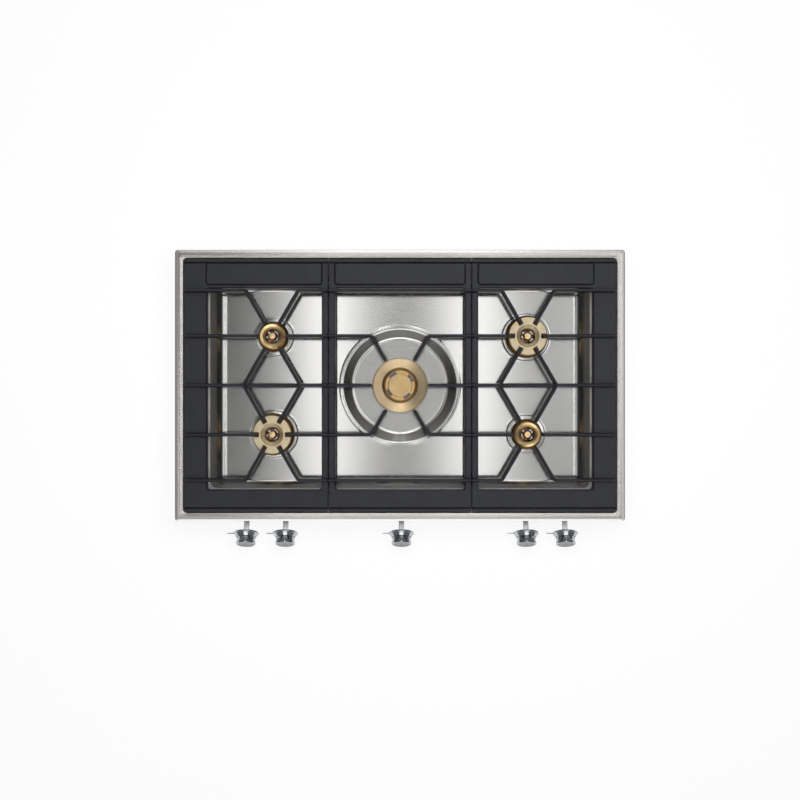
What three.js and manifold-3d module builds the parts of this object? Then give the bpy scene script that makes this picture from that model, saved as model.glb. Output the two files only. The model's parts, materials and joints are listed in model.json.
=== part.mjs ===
// A built-in gas cooktop with five burners, 908 mm wide, as an assembly of separate pieces.
// Millimetres, +Z up, origin at the centre of the base's underside, knobs towards -Y.
import * as THREE from "three";
import { mergeVertices } from "three/addons/utils/BufferGeometryUtils.js";
import Module from "manifold-3d";

const wasm = await Module();
wasm.setup();

// ---------- driving dimensions ----------

// clearances
const seat = 0.3;             // between two pieces that rest on or fit in each other
const runningGap = 0.8;       // each side of a finger in a burner ring's slot
const cut = 1;                // how far a cutting shape reaches past the face it opens

// flange frame
const frameWidth = 908;
const frameDepth = 547;
const flangeWidth = 16.5;
const frameThickness = 3;
const frameCorner = 4;
const openingCorner = 8;
const worktopHeight = 115;    // the flange's underside above the base
const frameTop = worktopHeight + frameThickness;

// well
const sheet = 1.8;
const ledgeDrop = 8;          // the ledge below the frame's top
const wellDepth = 35;         // the floor below the frame's top
const rimInsetX = 53.5;       // from the frame's opening to the well's rim
const rimInsetY = 49.5;
const wallRunSide = 33;       // how far the well's walls lean in
const wallRunFront = 13.5;
const wallRunBack = 24;
const wellCorner = 26;
const wellDishDepth = 12;
const dishRimRadius = 118;
const dishFloorRadius = 95;
const collarHeight = 4;
const collarFlare = 3;

// grates
const grateEdgeGap = 3;       // to the frame's opening
const grateJointGap = 3;      // between two grates
const centreGrateHalfWidth = 142.5;
const plateRise = 10;         // the plates above the frame's top
const ribRise = 26;           // the ribs above the frame's top
const ribWidth = 8.4;
const ribRidge = 4.8;
const ribDepth = 18;
const ribEndSides = 6;
const railWidth = 12;
const railDepth = 16;         // its top is flush with the front plate
const bandShell = 5;          // iron over the hollow underside of a plate
const outerBandWidth = 45.5;
const rearBandDepth = 54.8;
const frontBandDepth = 43.3;
const bandCorner = 6;
const panelRise = 2;
const panelChamfer = 2.4;
const panelCorner = 1;
const lipWidth = 5.5;
const grooveWidth = 3.5;
const grooveDepth = 2;
const rowInset = 64;          // the first and fifth rows of ribs from the grate's edge
const crossBarDrop = 9;       // the low bar in the third row

// burners
const burnerX = 257;
const burnerY = 99;
const fingerAngle = Math.PI / 3;
const cornerTipRadius = 27;
const wokTipRadius = 57;
const burnerFoot = 58;        // underside of a corner burner
const wokFoot = 46;
const throatRadius = 14;
const throatDepth = 14;
const postRadius = 7;
const ringHeight = 18;        // a corner burner's ring with its seat
const strongRise = 4;         // a strong ring above a small one
const bodyRim = 6;            // the straight side of a corner burner's body
const smallPostDrop = 4;      // the post's tip below the ring's top
const strongPostDrop = 6;
const smallRing = 25.4;
const smallBody = 31;
const smallNeck = 19.4;
const smallCollar = 38;
const strongRing = 38.6;
const strongBody = 43;
const strongNeck = 26;
const strongCollar = 47;
const strongSlotStart = 26;
const edgeBreak = 0.6;        // the small chamfer on turned edges
const dishDepth = 8;          // the hollow of a corner ring
const dishLip = 3;
const strongDraft = 3;        // how far a strong ring's side leans out
const strongDishCorner = 1.4;
const wokRingHeight = 12;
const wokCapHeight = 10;
const wokTroughDepth = 16;
const wokTroughGap = 1.5;
const wokBodyDraft = 4;
const wokRingFall = 4.4;      // the wok ring's inner edge below its outer one
const wokCapFlange = 3;
const wokDiscRise = 2;
const wokRing = 55.5;
const wokRingBore = 33.5;
const wokCap = 31;
const wokDisc = 23.8;
const wokBody = 50;
const wokNeck = 30;
const probeRadius = 2.4;      // electrode and thermocouple
const electrodeTip = 1;
const thermocoupleTip = 1.5;
const probePlace = 10.4;      // from the burner's axis
const wokProbePlace = 26.5;
const cornerProbeAngles = [2.4, 5.2];
const electrodeFoot = 6;      // below the burner's foot
const electrodeShoulder = 14; // these four below the height of a small ring
const electrodeReach = 5;
const thermocoupleFoot = 10;
const thermocoupleShoulder = 16;
const thermocoupleReach = 4;
const probeHoleReach = 10;
const wokSlotMiddle = 34 * Math.PI / 180;
const wokSlotHalf = 17.5 * Math.PI / 180;

// burner box and what it holds
const boxWall = 1.5;
const boxInsetX = 52;         // from the frame's edge
const boxInsetY = 49.5;
const lugOut = 18;
const lugThickness = 2;
const lugDrop = 23;           // below the flange's underside
const clampY = 150;
const clampScrew = 3;
const clampHead = 5;
const clampHeadHeight = 4;
const clampCollar = 4.5;
const clampArmLength = 68;
const clampArmWidth = 12;
const clampArmThickness = 8;
const clampArmDrop = 43;
const pipeRadius = 4;
const pipeHeight = 29;
const pipeBend = 22;
const injectorRadius = 7;
const injectorHeight = 10;
const manifoldSide = 10;
const manifoldInset = 19;     // behind the valve rail's front
const manifoldOverhang = 20;
const inletNut = 8;           // the gas inlet's nut, past the valve rail's right end
const inletGap = 2;
const pipeHole = 5.5;
const sealWidth = 8;
const sealThickness = 2;
const sealInset = 6;
const moduleWidth = 90;
const moduleDepth = 60;
const moduleHeight = 30;
const moduleLeft = 60;
const moduleInset = 34;       // from the box's rear wall

// valves and knobs
const knobPlaces = [-318, -237, 3, 261, 342];
const knobTilt = 22 * Math.PI / 180;
const knobOut = 24;           // the middle of the rosettes' rear faces in front of the valve rail
const knobZ = 56;
const neckRadius = 5;
const neckPlay = 0.5;         // round the neck in the valve rail
const spindleRadius = 3;
const plugRadius = 5.6;
const valveRadius = 11;
const valveLength = 37;
const valveGap = 1;           // from the valve to the rail's sheet
const valveWall = 6;          // at both ends of the plug
const outletStart = 22;       // these two in front of the box
const outletEnd = 8;
const outletRadius = 6;
const inletRadius = 5.5;
const railSheet = 2;
const railHalfLength = 372;
const railTop = 61;
const railBottom = 9;
const railReach = 56;         // in front of the box
const railSlopeFoot = 28;
const rosetteRadius = 26.5;
const rosetteFloor = 2.6;
const rosetteRim = 3;
const coneFoot = 23.1;        // inside the cone
const coneMouth = 20.6;
const coneHeight = 10.5;
const pointerLength = 13;
const pointerRadius = 1.25;
const knobRadius = 19.2;
const knobFlange = 20.3;
const knobFlangeStart = 20;
const knobLength = 25.3;
const knobTravel = 4;
const knobGap = 0.4;          // to the rosette when it is pushed in
const spindleTip = 14;        // in front of the rosette's rear face
const spindlePlay = 1;

// ---------- worked-out values ----------

const openingHalfWidth = frameWidth / 2 - flangeWidth;
const openingHalfDepth = frameDepth / 2 - flangeWidth;
const rimHalfWidth = openingHalfWidth - rimInsetX;
const rimHalfDepth = openingHalfDepth - rimInsetY;
const floorHalfWidth = rimHalfWidth - wallRunSide;
const floorFront = wallRunFront - rimHalfDepth;
const floorBack = rimHalfDepth - wallRunBack;
const ledgeTop = frameTop - ledgeDrop;
const floorTop = frameTop - wellDepth;
const dishTop = floorTop - wellDishDepth;
const collarTop = floorTop + collarHeight;
const grateHalfWidth = openingHalfWidth - grateEdgeGap;
const grateHalfDepth = openingHalfDepth - grateEdgeGap;
const sideGrateInner = centreGrateHalfWidth + grateJointGap;
const outerRow = grateHalfDepth - rowInset;
const plateTop = frameTop + plateRise;
const ribTop = frameTop + ribRise;
const ribBottom = ribTop - ribDepth;
const ringTop = frameTop + plateRise;
const strongTop = ringTop + strongRise;
const boxTop = ledgeTop - sheet;
const boxHalfWidth = frameWidth / 2 - boxInsetX;
const boxHalfDepth = frameDepth / 2 - boxInsetY;
const lugHeight = worktopHeight - lugDrop;
const clampArmHeight = worktopHeight - clampArmDrop;
const railFront = -boxHalfDepth - railReach;
const railTopFront = railFront + (railTop - railSlopeFoot) * Math.tan(knobTilt);
const knobY = railFront - knobOut;
const neckLength = knobOut * Math.cos(knobTilt) + (knobZ - railSlopeFoot) * Math.sin(knobTilt);
const valveFront = -neckLength - railSheet - valveGap;
const valveBack = valveFront - valveLength;
const valveEnd = -boxHalfDepth - outletEnd;
const manifoldTop = railBottom + railSheet + seat + manifoldSide;
const manifoldY = [railFront + manifoldInset, railFront + manifoldInset + manifoldSide];
const manifoldMiddle = (manifoldY[0] + manifoldY[1]) / 2;
const spindleBore = spindleRadius + seat;
const cornerTip = cornerTipRadius + ribWidth / 2;
const wokTip = wokTipRadius + ribWidth / 2;
const bendOffset = (outerRow - burnerY) / Math.tan(fingerAngle);
const vertexOffset = burnerY / Math.tan(fingerAngle);
const edgeReach = lipWidth + grooveWidth;

// ---------- materials ----------

function material(color, roughness, metalness) {
  return new THREE.MeshStandardMaterial({ color, roughness, metalness });
}

const brushedSteel = material(0xb9b7b2, 0.35, 1);
const castIron = material(0x2b2d33, 0.55, 0.3);
const brass = material(0xc9a86a, 0.3, 1);
const ceramic = material(0xe8e4da, 0.4, 0);
const probeSteel = material(0x9a9a98, 0.3, 1);
const zincSheet = material(0x9da1a3, 0.5, 0.9);
const knobSteel = material(0xc4c6c8, 0.2, 1);
const sealFoam = material(0x3a3a3a, 0.9, 0);
const modulePlastic = material(0x4a4c50, 0.6, 0);

// ---------- solids ----------

function solid(geometry) {
  const bare = geometry.clone();
  bare.deleteAttribute("normal");
  bare.deleteAttribute("uv");
  const merged = mergeVertices(bare, 1e-4);
  const vertProperties = new Float32Array(merged.attributes.position.array);
  const triVerts = new Uint32Array(merged.index.array);
  return new wasm.Manifold(new wasm.Mesh({ numProp: 3, vertProperties, triVerts }));
}

function geometryOf(body) {
  const mesh = body.getMesh();
  const geometry = new THREE.BufferGeometry();
  geometry.setAttribute("position", new THREE.BufferAttribute(mesh.vertProperties, 3));
  geometry.setIndex(new THREE.BufferAttribute(mesh.triVerts, 1));
  geometry.computeVertexNormals();
  return geometry;
}

function joined(solids) {
  return solids.reduce((whole, piece) => whole.add(piece));
}

function without(body, solids) {
  return solids.reduce((whole, piece) => whole.subtract(piece), body);
}

function block(x, y, z) {
  const geometry = new THREE.BoxGeometry(x[1] - x[0], y[1] - y[0], z[1] - z[0]);
  geometry.translate((x[0] + x[1]) / 2, (y[0] + y[1]) / 2, (z[0] + z[1]) / 2);
  return solid(geometry);
}

function roundedRectangle(x, y, radius) {
  const shape = new THREE.Shape();
  shape.moveTo(x[0] + radius, y[0]);
  shape.lineTo(x[1] - radius, y[0]);
  shape.absarc(x[1] - radius, y[0] + radius, radius, -Math.PI / 2, 0);
  shape.lineTo(x[1], y[1] - radius);
  shape.absarc(x[1] - radius, y[1] - radius, radius, 0, Math.PI / 2);
  shape.lineTo(x[0] + radius, y[1]);
  shape.absarc(x[0] + radius, y[1] - radius, radius, Math.PI / 2, Math.PI);
  shape.lineTo(x[0], y[0] + radius);
  shape.absarc(x[0] + radius, y[0] + radius, radius, Math.PI, 1.5 * Math.PI);
  return shape;
}

function slab(x, y, radius, bottom, top, curveSegments = 3) {
  const shape = roundedRectangle(x, y, radius);
  const depth = top - bottom;
  const geometry = new THREE.ExtrudeGeometry(shape, { depth, bevelEnabled: false, curveSegments });
  geometry.translate(0, 0, bottom);
  return solid(geometry);
}

// A centred slab whose underside is drawn in to the given extents, as a pressed well is.
function drawnSlab(top, bottom, radius, rim, floor) {
  const shape = roundedRectangle([-rim.x, rim.x], [-rim.y, rim.y], radius);
  const depth = top - bottom;
  const geometry = new THREE.ExtrudeGeometry(shape, { depth, bevelEnabled: false, curveSegments: 4 });
  const point = geometry.attributes.position;
  const middle = (floor.front + floor.back) / 2;
  const half = (floor.back - floor.front) / 2;
  for (let i = 0; i < point.count; i += 1) {
    if (point.getZ(i) < depth / 2) {
      point.setX(i, point.getX(i) * floor.x / rim.x);
      point.setY(i, point.getY(i) * half / rim.y + middle);
    }
  }
  geometry.translate(0, 0, bottom);
  return solid(geometry);
}

function disc(radius, bottom, top, x = 0, y = 0, sides = 16, topRadius = radius) {
  const geometry = new THREE.CylinderGeometry(topRadius, radius, top - bottom, sides);
  geometry.rotateX(Math.PI / 2);
  geometry.translate(x, y, (bottom + top) / 2);
  return solid(geometry);
}

// Profile points are [radius, height] and the outline closes on itself.
function turned(profile, sides = 20) {
  const outline = profile.map(([radius, height]) => new THREE.Vector2(radius, height));
  outline.push(outline[0].clone());
  const geometry = new THREE.LatheGeometry(outline, sides);
  geometry.rotateX(Math.PI / 2);
  const body = solid(geometry);
  return body.volume() < 0 ? solid(flipped(geometry)) : body;
}

function flipped(geometry) {
  const index = geometry.index.array;
  for (let i = 0; i < index.length; i += 3) {
    const second = index[i + 1];
    index[i + 1] = index[i + 2];
    index[i + 2] = second;
  }
  return geometry;
}

// A straight bar whose section stands upright, from one place in plan to another.
function bar(from, to, outline) {
  const along = new THREE.Vector3(to[0] - from[0], to[1] - from[1], 0);
  const depth = along.length();
  along.normalize();
  const across = new THREE.Vector3(-along.y, along.x, 0);
  const up = new THREE.Vector3(0, 0, 1);
  const shape = new THREE.Shape(outline.map(([u, z]) => new THREE.Vector2(u, z)));
  const geometry = new THREE.ExtrudeGeometry(shape, { depth, bevelEnabled: false });
  const place = new THREE.Matrix4().makeBasis(across, up, along);
  place.setPosition(from[0], from[1], 0);
  geometry.applyMatrix4(place);
  return solid(geometry);
}

function rod(radius, from, to, sides = 12) {
  const start = new THREE.Vector3(...from);
  const along = new THREE.Vector3(...to).sub(start);
  const geometry = new THREE.CylinderGeometry(radius, radius, along.length(), sides);
  const turn = new THREE.Quaternion();
  turn.setFromUnitVectors(new THREE.Vector3(0, 1, 0), along.clone().normalize());
  geometry.applyQuaternion(turn);
  const middle = start.addScaledVector(along, 0.5);
  geometry.translate(middle.x, middle.y, middle.z);
  return solid(geometry);
}

const cooktop = new THREE.Group();

function addPiece(name, body, finish, parent = cooktop) {
  const mesh = new THREE.Mesh(geometryOf(body), finish);
  mesh.name = name;
  parent.add(mesh);
  return mesh;
}

// ---------- frame, well, seal and box ----------

const burners = [
  { name: "rear_left", x: -burnerX, y: burnerY, kind: "small" },
  { name: "front_left", x: -burnerX, y: -burnerY, kind: "strong" },
  { name: "wok", x: 0, y: 0, kind: "wok" },
  { name: "rear_right", x: burnerX, y: burnerY, kind: "strong" },
  { name: "front_right", x: burnerX, y: -burnerY, kind: "small" },
];
const neckOf = { small: smallNeck, strong: strongNeck, wok: wokNeck };
const collarOf = { small: smallCollar, strong: strongCollar };

function frameRing(inset, width, corner, bottom, top) {
  const outerX = frameWidth / 2 - inset;
  const outerY = frameDepth / 2 - inset;
  const innerX = outerX - width;
  const innerY = outerY - width;
  const body = slab([-outerX, outerX], [-outerY, outerY], frameCorner, bottom, top);
  return body.subtract(slab([-innerX, innerX], [-innerY, innerY], corner, bottom - cut, top + cut));
}

function frame() {
  return frameRing(0, flangeWidth, openingCorner, worktopHeight, frameTop);
}

function seal() {
  return frameRing(sealInset, sealWidth, openingCorner, worktopHeight - sealThickness, worktopHeight);
}

function wellSolid(grow, top, bottom) {
  const rim = { x: rimHalfWidth + grow, y: rimHalfDepth + grow };
  const floor = { x: floorHalfWidth + grow, front: floorFront - grow, back: floorBack + grow };
  return drawnSlab(top, bottom, wellCorner + grow, rim, floor);
}

function well() {
  const outX = openingHalfWidth + seat + sheet;
  const outY = openingHalfDepth + seat + sheet;
  const inX = openingHalfWidth + seat;
  const inY = openingHalfDepth + seat;
  const corner = openingCorner + seat;
  const ledgeBottom = ledgeTop - sheet;
  const ledge = slab([-outX, outX], [-outY, outY], corner + sheet, ledgeBottom, worktopHeight);
  const pan = wellSolid(sheet, ledgeTop, floorTop - sheet);
  const dish = disc(dishFloorRadius + sheet, dishTop - sheet, floorTop, 0, 0, 36, dishRimRadius + sheet);
  let body = joined([ledge, pan, dish]);
  body = without(body, [
    slab([-inX, inX], [-inY, inY], corner, ledgeTop, worktopHeight + cut),
    wellSolid(0, ledgeTop, floorTop),
    disc(dishFloorRadius, dishTop, floorTop, 0, 0, 36, dishRimRadius),
  ]);
  for (const burner of burners) {
    if (burner.kind !== "wok") {
      const foot = collarOf[burner.kind] + collarFlare;
      const bottom = floorTop - sheet;
      body = body.add(disc(foot, bottom, collarTop, burner.x, burner.y, 20, collarOf[burner.kind]));
    }
    const hole = neckOf[burner.kind] + 2 * seat;
    body = body.subtract(disc(hole, dishTop - 2 * sheet, collarTop + cut, burner.x, burner.y));
  }
  return body;
}

function clampPlaces() {
  const places = [];
  for (const sideX of [-1, 1]) {
    for (const sideY of [-1, 1]) {
      const name = `${sideY < 0 ? "front" : "rear"}_${sideX < 0 ? "left" : "right"}`;
      places.push({ name, sideX, sideY, x: sideX * (boxHalfWidth + lugOut / 2), y: sideY * clampY });
    }
  }
  return places;
}

function span(a, b) {
  return [Math.min(a, b), Math.max(a, b)];
}

function burnerBox() {
  const innerX = boxHalfWidth - boxWall;
  const innerY = boxHalfDepth - boxWall;
  let body = block([-boxHalfWidth, boxHalfWidth], [-boxHalfDepth, boxHalfDepth], [0, boxTop]);
  body = body.subtract(block([-innerX, innerX], [-innerY, innerY], [boxWall, boxTop + cut]));
  for (const place of clampPlaces()) {
    const wall = place.sideX * (boxHalfWidth - boxWall / 2);
    const tip = place.sideX * (boxHalfWidth + lugOut);
    const wide = [place.y - lugOut / 2, place.y + lugOut / 2];
    body = body.add(block(span(wall, tip), wide, [lugHeight, lugHeight + lugThickness]));
    const low = lugHeight - cut;
    const high = lugHeight + lugThickness + cut;
    body = body.subtract(disc(clampScrew + seat, low, high, place.x, place.y, 8));
  }
  for (const x of knobPlaces) {
    const front = -boxHalfDepth - cut;
    const back = -innerY + cut;
    body = body.subtract(rod(pipeHole, [x, front, pipeHeight], [x, back, pipeHeight], 8));
  }
  return body;
}

function clamp(place) {
  const armTop = clampArmHeight + clampArmThickness;
  const headBottom = lugHeight + lugThickness + seat;
  const half = clampArmWidth / 2;
  const armEnd = place.y - place.sideY * clampArmLength;
  const armStart = place.y + place.sideY * half;
  return joined([
    disc(clampScrew, clampArmHeight, headBottom + cut, place.x, place.y, 8),
    disc(clampHead, headBottom, headBottom + clampHeadHeight, place.x, place.y, 6),
    disc(clampCollar, armTop - cut, lugHeight - seat, place.x, place.y, 8),
    block([place.x - half, place.x + half], span(armStart, armEnd), [clampArmHeight, armTop]),
  ]);
}

// ---------- grates ----------

const ribOutline = [
  [-ribWidth / 2, ribBottom],
  [ribWidth / 2, ribBottom],
  [ribRidge / 2, ribTop],
  [-ribRidge / 2, ribTop],
];

const crossBarOutline = [
  [-ribRidge / 2 - 1, ribBottom],
  [ribRidge / 2 + 1, ribBottom],
  [ribRidge / 2, ribTop - crossBarDrop],
  [-ribRidge / 2, ribTop - crossBarDrop],
];

function ribEnd(place) {
  return disc(ribWidth / 2, ribBottom, ribTop, place[0], place[1], ribEndSides, ribRidge / 2);
}

// Ribs through a list of places in plan, with a round end or corner at each place named as round.
function ribRun(places, roundFirst = true, roundLast = true) {
  const solids = [];
  for (let i = 0; i + 1 < places.length; i += 1) {
    solids.push(bar(places[i], places[i + 1], ribOutline));
    if (i > 0) solids.push(ribEnd(places[i]));
  }
  if (roundFirst) solids.push(ribEnd(places[0]));
  if (roundLast) solids.push(ribEnd(places[places.length - 1]));
  return joined(solids);
}

// The place on a burner's finger at a distance from the burner's axis.
function onFinger(centre, radius, turnX, turnY) {
  const x = centre[0] + turnX * radius * Math.cos(fingerAngle);
  const y = centre[1] + turnY * radius * Math.sin(fingerAngle);
  return [x, y];
}

// A plate of the grate: solid on top, hollow below, and standing on the well's ledge.
function hollowBand(x, y) {
  const body = slab(x, y, bandCorner / 2, ledgeTop, plateTop, 2);
  const inX = [x[0] + bandShell, x[1] - bandShell];
  const inY = [y[0] + bandShell, y[1] - bandShell];
  return body.subtract(block(inX, inY, [ledgeTop - cut, plateTop - bandShell]));
}

// A raised panel with chamfered edges on a plate.
function raisedPanel(x, y) {
  const inX = [x[0] + panelChamfer, x[1] - panelChamfer];
  const inY = [y[0] + panelChamfer, y[1] - panelChamfer];
  const geometry = new THREE.ExtrudeGeometry(roundedRectangle(inX, inY, panelCorner), {
    depth: cut,
    bevelThickness: panelRise,
    bevelSize: panelChamfer,
    bevelSegments: 1,
    curveSegments: 2,
  });
  geometry.translate(0, 0, plateTop - cut);
  return solid(geometry).subtract(block([x[0] - cut, x[1] + cut], [y[0] - cut, y[1] + cut],
    [plateTop - 4 * cut, plateTop - cut]));
}

// The rear plate with its raised panel and the flush front plate, each with a groove behind its lip.
function frontAndRear(x, panelX) {
  const back = grateHalfDepth;
  const rear = [back - rearBandDepth, back];
  const front = [-back, -back + frontBandDepth];
  const edge = edgeReach;
  const body = joined([
    hollowBand(x, rear),
    hollowBand(x, front),
    raisedPanel(panelX, [rear[0] + panelChamfer / 2, back - edge]),
  ]);
  const reach = [x[0] - cut, x[1] + cut];
  const groove = [plateTop - grooveDepth, plateTop + panelRise + cut];
  return without(body, [
    block(reach, [back - edge, back - lipWidth], groove),
    block(reach, [-back + lipWidth, -back + edge], groove),
  ]);
}

function sideRail(x) {
  const reach = grateHalfDepth - edgeReach;
  return block(x, [-reach, reach], [plateTop - railDepth, plateTop]);
}

// One of the two outer grates: side is -1 for the left one and 1 for the right one.
function sideGrate(side) {
  const outer = side * grateHalfWidth;
  const inner = side * sideGrateInner;
  const railEdge = side * (sideGrateInner + railWidth);
  const bandEdge = side * (grateHalfWidth - outerBandWidth);
  const outerEnd = side * (grateHalfWidth - ribWidth / 2);
  const centreX = side * burnerX;
  const solids = [
    frontAndRear(span(inner, outer), span(railEdge, bandEdge)),
    hollowBand(span(bandEdge, outer), [-grateHalfDepth, grateHalfDepth]),
    sideRail(span(inner, railEdge)),
  ];
  for (const half of [-1, 1]) {
    const centre = [centreX, half * burnerY];
    const low = [centreX, 0];
    for (const hand of [-1, 1]) {
      const away = hand * side;
      const end = hand > 0 ? outerEnd : inner;
      const round = hand > 0;
      const bend = [centreX + away * bendOffset, half * outerRow];
      const vertex = [centreX + away * vertexOffset, 0];
      const outTip = onFinger(centre, cornerTip, away, half);
      const inTip = onFinger(centre, cornerTip, away, -half);
      const rowTip = [centreX + away * cornerTip, half * burnerY];
      solids.push(ribRun([[end, half * outerRow], bend, outTip], round));
      solids.push(ribRun([[end, half * burnerY], rowTip], round));
      solids.push(ribRun([vertex, inTip]));
      if (half > 0) solids.push(ribRun([[end, 0], vertex], round));
    }
    if (half > 0) {
      const from = [low[0] - vertexOffset, 0];
      solids.push(bar(from, [low[0] + vertexOffset, 0], crossBarOutline));
    }
  }
  return joined(solids);
}

function centreGrate() {
  const edge = centreGrateHalfWidth;
  const railEdge = edge - railWidth;
  const solids = [
    frontAndRear([-edge, edge], [-railEdge, railEdge]),
    sideRail([-edge, -railEdge]),
    sideRail([railEdge, edge]),
  ];
  for (const half of [-1, 1]) {
    solids.push(bar([-edge, half * outerRow], [edge, half * outerRow], ribOutline));
    for (const hand of [-1, 1]) {
      const bend = [hand * vertexOffset, half * burnerY];
      const tip = onFinger([0, 0], wokTip, hand, half);
      solids.push(ribRun([[hand * edge, half * burnerY], bend, tip], false));
    }
    solids.push(ribRun([[half * edge, 0], [half * wokTip, 0]], false));
  }
  return joined(solids);
}

// ---------- burners ----------

function cornerBase(kind) {
  const strong = kind === "strong";
  const neck = neckOf[kind];
  const outer = strong ? strongBody : smallBody;
  const ring = strong ? strongRing : smallRing;
  const rim = strong ? strongTop : ringTop;
  const top = rim - ringHeight;
  const floor = top - throatDepth;
  const shoulder = collarTop + seat;
  const postTop = rim - (strong ? strongPostDrop : smallPostDrop);
  return turned([
    [0, burnerFoot], [neck, burnerFoot], [neck, shoulder], [outer, shoulder],
    [outer, top - bodyRim], [ring, top], [throatRadius, top], [throatRadius, floor],
    [postRadius, floor], [postRadius, postTop], [0, postTop],
  ]);
}

function wokBase() {
  const shoulder = dishTop + seat;
  const top = ringTop - wokRingHeight;
  const trough = top - wokTroughDepth;
  const outer = wokRingBore + wokTroughGap;
  const hub = wokDisc - wokBodyDraft;
  const hubTop = ringTop - wokCapHeight;
  return turned([
    [0, wokFoot], [wokNeck, wokFoot], [wokNeck, shoulder], [wokBody - wokBodyDraft, shoulder],
    [wokBody, top - wokCapHeight], [wokBody, top], [outer, top], [outer, trough],
    [hub, trough], [hub, hubTop], [0, hubTop],
  ]);
}

// Holes for the electrode and the thermocouple through a burner's base.
function probeAngles(kind) {
  return kind === "wok" ? [wokSlotMiddle, wokSlotMiddle + Math.PI] : cornerProbeAngles;
}

function probeSpot(burner, angle) {
  const radius = burner.kind === "wok" ? wokProbePlace : probePlace;
  return [burner.x + radius * Math.cos(angle), burner.y + radius * Math.sin(angle)];
}

function footOf(kind) {
  return kind === "wok" ? wokFoot : burnerFoot;
}

function burnerBase(burner) {
  let body = burner.kind === "wok" ? wokBase() : cornerBase(burner.kind);
  body = body.translate([burner.x, burner.y, 0]);
  for (const angle of probeAngles(burner.kind)) {
    const [x, y] = probeSpot(burner, angle);
    const low = footOf(burner.kind) - cut;
    body = body.subtract(disc(probeRadius + seat, low, ringTop - probeHoleReach, x, y, 8));
  }
  return body;
}

function electrode(burner) {
  const [x, y] = probeSpot(burner, probeAngles(burner.kind)[0]);
  const low = footOf(burner.kind) - electrodeFoot;
  const shoulder = ringTop - electrodeShoulder;
  return joined([
    disc(probeRadius, low, shoulder, x, y, 8),
    disc(electrodeTip, shoulder - cut, ringTop - electrodeReach, x, y, 6),
  ]);
}

function thermocouple(burner) {
  const [x, y] = probeSpot(burner, probeAngles(burner.kind)[1]);
  const low = footOf(burner.kind) - thermocoupleFoot;
  const shoulder = ringTop - thermocoupleShoulder;
  return joined([
    disc(probeRadius, low, shoulder, x, y, 8),
    disc(thermocoupleTip, shoulder - cut, ringTop - thermocoupleReach, x, y, 6),
  ]);
}

function smallRingBody() {
  const low = ringTop - ringHeight + seat;
  const rim = smallRing;
  return turned([
    [throatRadius, low], [rim - 2 * edgeBreak, low], [rim, ringTop - edgeBreak],
    [rim - edgeBreak, ringTop], [rim - dishLip, ringTop - dishDepth / 4],
    [rim - dishDepth, ringTop - 0.7 * dishDepth], [throatRadius, ringTop - dishDepth],
  ]);
}

function strongRingBody() {
  const low = strongTop - ringHeight + seat;
  const rim = strongRing;
  const corner = strongDishCorner;
  const lipEdge = strongSlotStart - corner;
  let body = turned([
    [throatRadius, low], [rim - strongDraft, low], [rim, strongTop - edgeBreak],
    [rim - edgeBreak, strongTop], [lipEdge, strongTop], [lipEdge - 2 * corner, strongTop - corner],
    [throatRadius + corner, strongTop - dishDepth], [throatRadius, strongTop - dishDepth - corner],
  ]);
  const half = ribWidth / 2 + runningGap;
  for (let i = 0; i < 6; i += 1) {
    const turn = i * fingerAngle;
    const geometry = new THREE.BoxGeometry(strongRing, 2 * half, 3 * ringHeight);
    geometry.translate(strongSlotStart + strongRing / 2, 0, strongTop);
    geometry.rotateZ(turn);
    body = body.subtract(solid(geometry));
  }
  return body;
}

function wokRingBody() {
  const low = ringTop - wokRingHeight + seat;
  return turned([
    [wokRingBore, low], [wokBody + cut, low], [wokRing, ringTop - 2 * edgeBreak],
    [wokRing - edgeBreak, ringTop], [wokRing - 4 * edgeBreak, ringTop - edgeBreak],
    [(wokRing + wokRingBore) / 2, ringTop - 0.75 * wokRingFall], [wokRingBore, ringTop - wokRingFall],
  ], 28);
}

function wokCapBody() {
  const low = ringTop - wokCapHeight + seat;
  const flange = ringTop - wokDiscRise;
  const top = ringTop - edgeBreak;
  let body = turned([
    [0, low], [wokDisc - cut, low], [wokCap, low + wokCapFlange], [wokCap - edgeBreak, flange],
    [wokDisc, flange - edgeBreak], [wokDisc - edgeBreak, top], [0, top - edgeBreak],
  ], 24);
  for (let i = 0; i < 4; i += 1) {
    body = body.subtract(arcSlot(wokSlotMiddle + i * Math.PI / 2));
  }
  return body;
}

function arcSlot(middle) {
  const inner = wokDisc + 1;
  const outer = wokCap - 3.5 * edgeBreak;
  const shape = new THREE.Shape();
  shape.absarc(0, 0, outer, middle - wokSlotHalf, middle + wokSlotHalf, false);
  shape.absarc(0, 0, inner, middle + wokSlotHalf, middle - wokSlotHalf, true);
  const geometry = new THREE.ExtrudeGeometry(shape, {
    depth: 3 * wokCapHeight,
    bevelEnabled: false,
    curveSegments: 4,
  });
  geometry.translate(0, 0, ringTop - 2 * wokCapHeight);
  return solid(geometry);
}

function ringOf(kind) {
  if (kind === "small") return smallRingBody();
  return kind === "strong" ? strongRingBody() : wokRingBody();
}

// ---------- gas line ----------

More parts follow.
